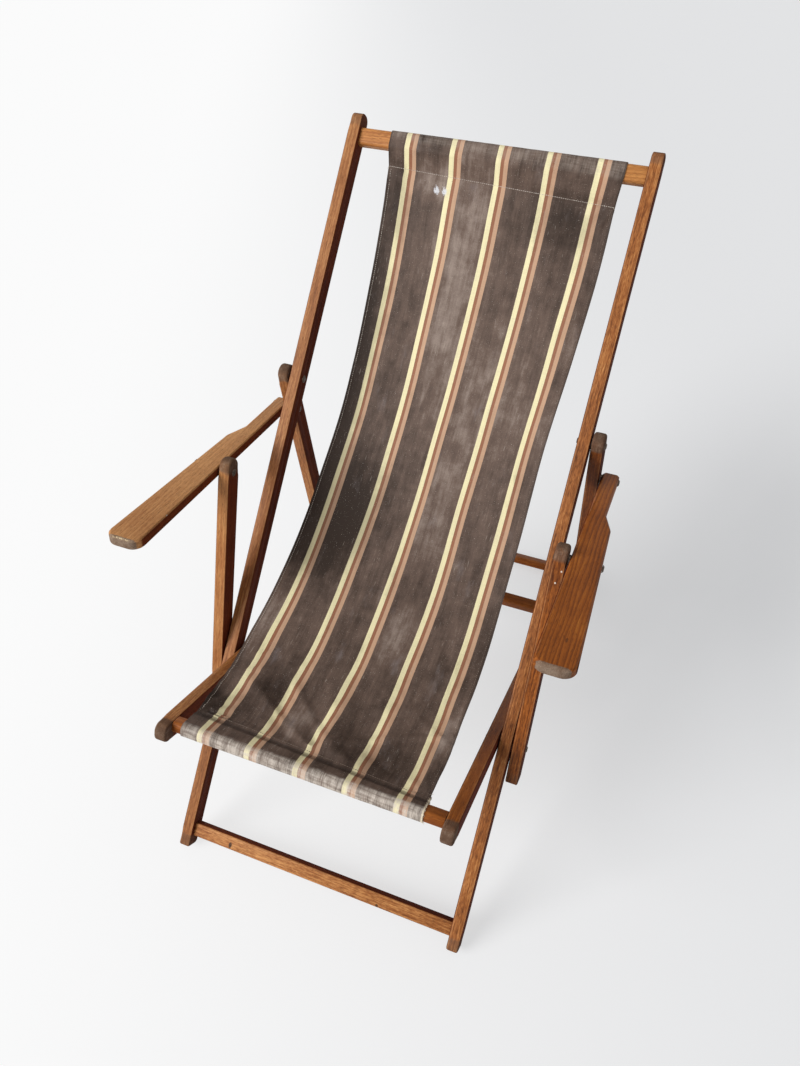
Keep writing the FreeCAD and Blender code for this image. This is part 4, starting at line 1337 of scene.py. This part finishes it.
sizes = {"Pitch": "Float", "Long": "Float", "Thick": "Float", "Seed": "Int"}
stitch_tree, given, line = open_tree("stitches", sizes)
pitch = {"Curve": line, "Length": given["Pitch"]}
spots = add_node(stitch_tree, "GeometryNodeCurveToPoints", {"mode": "LENGTH"}, pitch)
ball = {"Segments": BEAD_SIDES, "Rings": BEAD_RINGS, "Radius": 0.5}
bead = add_node(stitch_tree, "GeometryNodeMeshUVSphere", {}, ball)[0]
size = {"X": given["Long"], "Y": given["Thick"], "Z": given["Thick"]}
scale = add_node(stitch_tree, "ShaderNodeCombineXYZ", {}, size)[0]
stitch = add_node(stitch_tree, "GeometryNodeTransform", {}, {"Geometry": bead, "Scale": scale})[0]
ahead = {"Vector": spots["Tangent"]}
turn = add_node(stitch_tree, "FunctionNodeAlignRotationToVector", {"axis": "X"}, ahead)[0]
spread = {0: LEAST_STITCH, 1: MOST_STITCH, "Seed": given["Seed"]}
uneven = add_node(stitch_tree, "FunctionNodeRandomValue", {"data_type": "FLOAT_VECTOR"}, spread)[0]
laid = {"Points": spots["Points"], "Instance": stitch, "Rotation": turn, "Scale": uneven}
beads = add_node(stitch_tree, "GeometryNodeInstanceOnPoints", {}, laid)[0]
close_tree(stitch_tree, beads, given["Finish"])
print("stitch nodes", len(stitch_tree.nodes))

# %% A tree that makes loose threads
thread_tree, given, line = open_tree("loose_threads", {"Thick": "Float"})
ring_size = {"Resolution": 6, "Radius": given["Thick"]}
ring_curve = add_node(thread_tree, "GeometryNodeCurvePrimitiveCircle", {}, ring_size)[0]
swept = {"Curve": line, "Profile Curve": ring_curve, "Fill Caps": True}
tube = add_node(thread_tree, "GeometryNodeCurveToMesh", {}, swept)[0]
close_tree(thread_tree, tube, given["Finish"])
print("thread nodes", len(thread_tree.nodes))


# %% Thread finishes
def thread_finish(name, dark, light):
    """Make a finish for cotton thread with a little dirt."""
    finish = Finish(name)
    dirt = finish.speckle(finish.place(), 260.0, 3.0, 0.6)
    finish.tint = colour(*dark)
    finish.cover(dirt.over(0.35, 0.65), light)
    finish.set(Base_Color=finish.tint, Roughness=(dirt * 0.2 + 0.65).clip())
    return finish.material


pale_thread = thread_finish("pale_thread", (168, 156, 144), (222, 212, 200))
brown_thread = thread_finish("brown_thread", (84, 68, 58), (140, 122, 108))
cream_thread = thread_finish("cream_thread", (196, 178, 148), (234, 224, 202))
print("three threads")

# %% [markdown]
# The seams lie on top of the cloth, half sunk. The top one is pale and the front one dark.
# Each side hem has one long row, which follows the cloth.

# %% Sew the seams
STITCH_PITCH = 0.0036
STITCH_LONG = 0.0031
STITCH_THICK = 0.0009
ON_TOP = CLOTH_THICK / 2 + 0.0001
SEAM_STEPS = 160
SEAM_REACH = 0.985
IN_SIDE_HEM = 0.0018


def seam_across(row):
    """Give a line of points across the cloth at one row."""
    shares = [SEAM_REACH * (2 * step / SEAM_STEPS - 1) for step in range(SEAM_STEPS + 1)]
    return [cloth_point(share, row, ON_TOP) for share in shares]


def seam_along(share):
    """Give a line of points along the cloth between its seams."""
    steps = range(2 * (TOP_ROW - FRONT_ROW) - 3)
    return [cloth_point(share, FRONT_ROW + 1 + step / 2, ON_TOP) for step in steps]


hem_share = 1 - 2 * (SIDE_HEM - IN_SIDE_HEM) / CLOTH_WIDE
seams = {
    "top_stitches": (seam_across(TOP_ROW - 0.15), pale_thread, 3),
    "front_stitches": (seam_across(FRONT_ROW + 0.4), brown_thread, 5),
    "left_stitches": (seam_along(-hem_share), pale_thread, 7),
    "right_stitches": (seam_along(hem_share), brown_thread, 9),
}
sewing = {"Pitch": STITCH_PITCH, "Long": STITCH_LONG, "Thick": STITCH_THICK}
rows_of_stitches = []
for name, (line, thread, seed_number) in seams.items():
    row = grow(name, [line], stitch_tree, Seed=seed_number, Finish=thread, **sewing)
    rows_of_stitches.append(row)
    print(name, len(row.data.polygons) // (BEAD_SIDES * BEAD_RINGS))
top_stitches, front_stitches, left_stitches, right_stitches = rows_of_stitches

# %% [markdown]
# The hem has frayed at the right end of the front roll, and a few ends hang from the seams.
# Each loose thread is a short wandering line, swept to a thin tube by the second tree.

# %% Loose threads
FRAY_THREADS = 34
FRAY_THICK = 0.00022
SHAKE = 0.0022
THREAD_STEPS = 5
# Each end is its share of the width, its row, the way it points and its length.
CORNER_ENDS = (
    (0.985, FRONT_ROW + 1.5, (0.8, 0.5, 0.1), 0.007),
    (0.98, FRONT_ROW + 0.5, (0.9, 0.2, -0.3), 0.006),
)
TOP_ENDS = (
    (-0.985, TOP_ROW - 0.2, (-0.8, -0.2, -0.5), 0.006),
    (0.985, TOP_ROW - 0.2, (0.8, -0.3, -0.5), 0.004),
    (-0.42, TOP_ROW - 1.2, (0.9, -0.1, -0.3), 0.007),
    (-0.44, TOP_ROW - 0.6, (0.5, -0.2, -0.8), 0.006),
    (0.72, TOP_ROW - 1.8, (0.9, 0.0, -0.1), 0.009),
)
FIRST_CORNER_NUMBER = 61
FIRST_TOP_NUMBER = 70


def loose_thread(share, row, ahead, long, number):
    """Give the line of a thread that leaves the cloth and wanders ahead, by its own number."""
    start = cloth_point(share, row, 0.0004)
    line = [start]
    for step in range(1, THREAD_STEPS + 1):
        far = long * step / THREAD_STEPS
        shake = Vector([noise.noise((number * 3.1, step * 0.45, axis * 7.7)) for axis in range(3)])
        line.append(start + Vector(ahead) * far + shake * SHAKE * step / THREAD_STEPS)
    return line


fray = []
for number in range(FRAY_THREADS):
    row = 6 + (FRONT_ROW - 8) * number / FRAY_THREADS
    long = 0.0022 + 0.0024 * abs(noise.noise((number * 1.7, 0.3, 0.9)))
    fray.append(loose_thread(0.992, row, (1, 0, -0.12), long, number))
for number, end in enumerate(CORNER_ENDS, FIRST_CORNER_NUMBER):
    fray.append(loose_thread(*end, number))
top_ends = [loose_thread(*end, number) for number, end in enumerate(TOP_ENDS, FIRST_TOP_NUMBER)]
front_fray = grow("front_fray", fray, thread_tree, Thick=FRAY_THICK, Finish=cream_thread)
top_fray = grow("top_thread_ends", top_ends, thread_tree, Thick=FRAY_THICK, Finish=cream_thread)
print("loose threads", len(fray) + len(top_ends))

# %% [markdown]
# ## Hang it all
# The cloth and its side stitches have their transforms baked in. The front seam and its
# frayed threads follow the seat frame, and the top seam and its loose ends the back frame.

# %% Hang the canvas
BLEND_START = cloth_point(0, TOP_ROW - 5)
BLEND_END = cloth_point(0, FRONT_ROW + 5)

for piece in (sling, left_stitches, right_stitches):
    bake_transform(piece)
for piece in (top_stitches, top_fray):
    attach(piece, "back_frame")
for piece in (front_stitches, front_fray):
    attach(piece, "seat_frame")
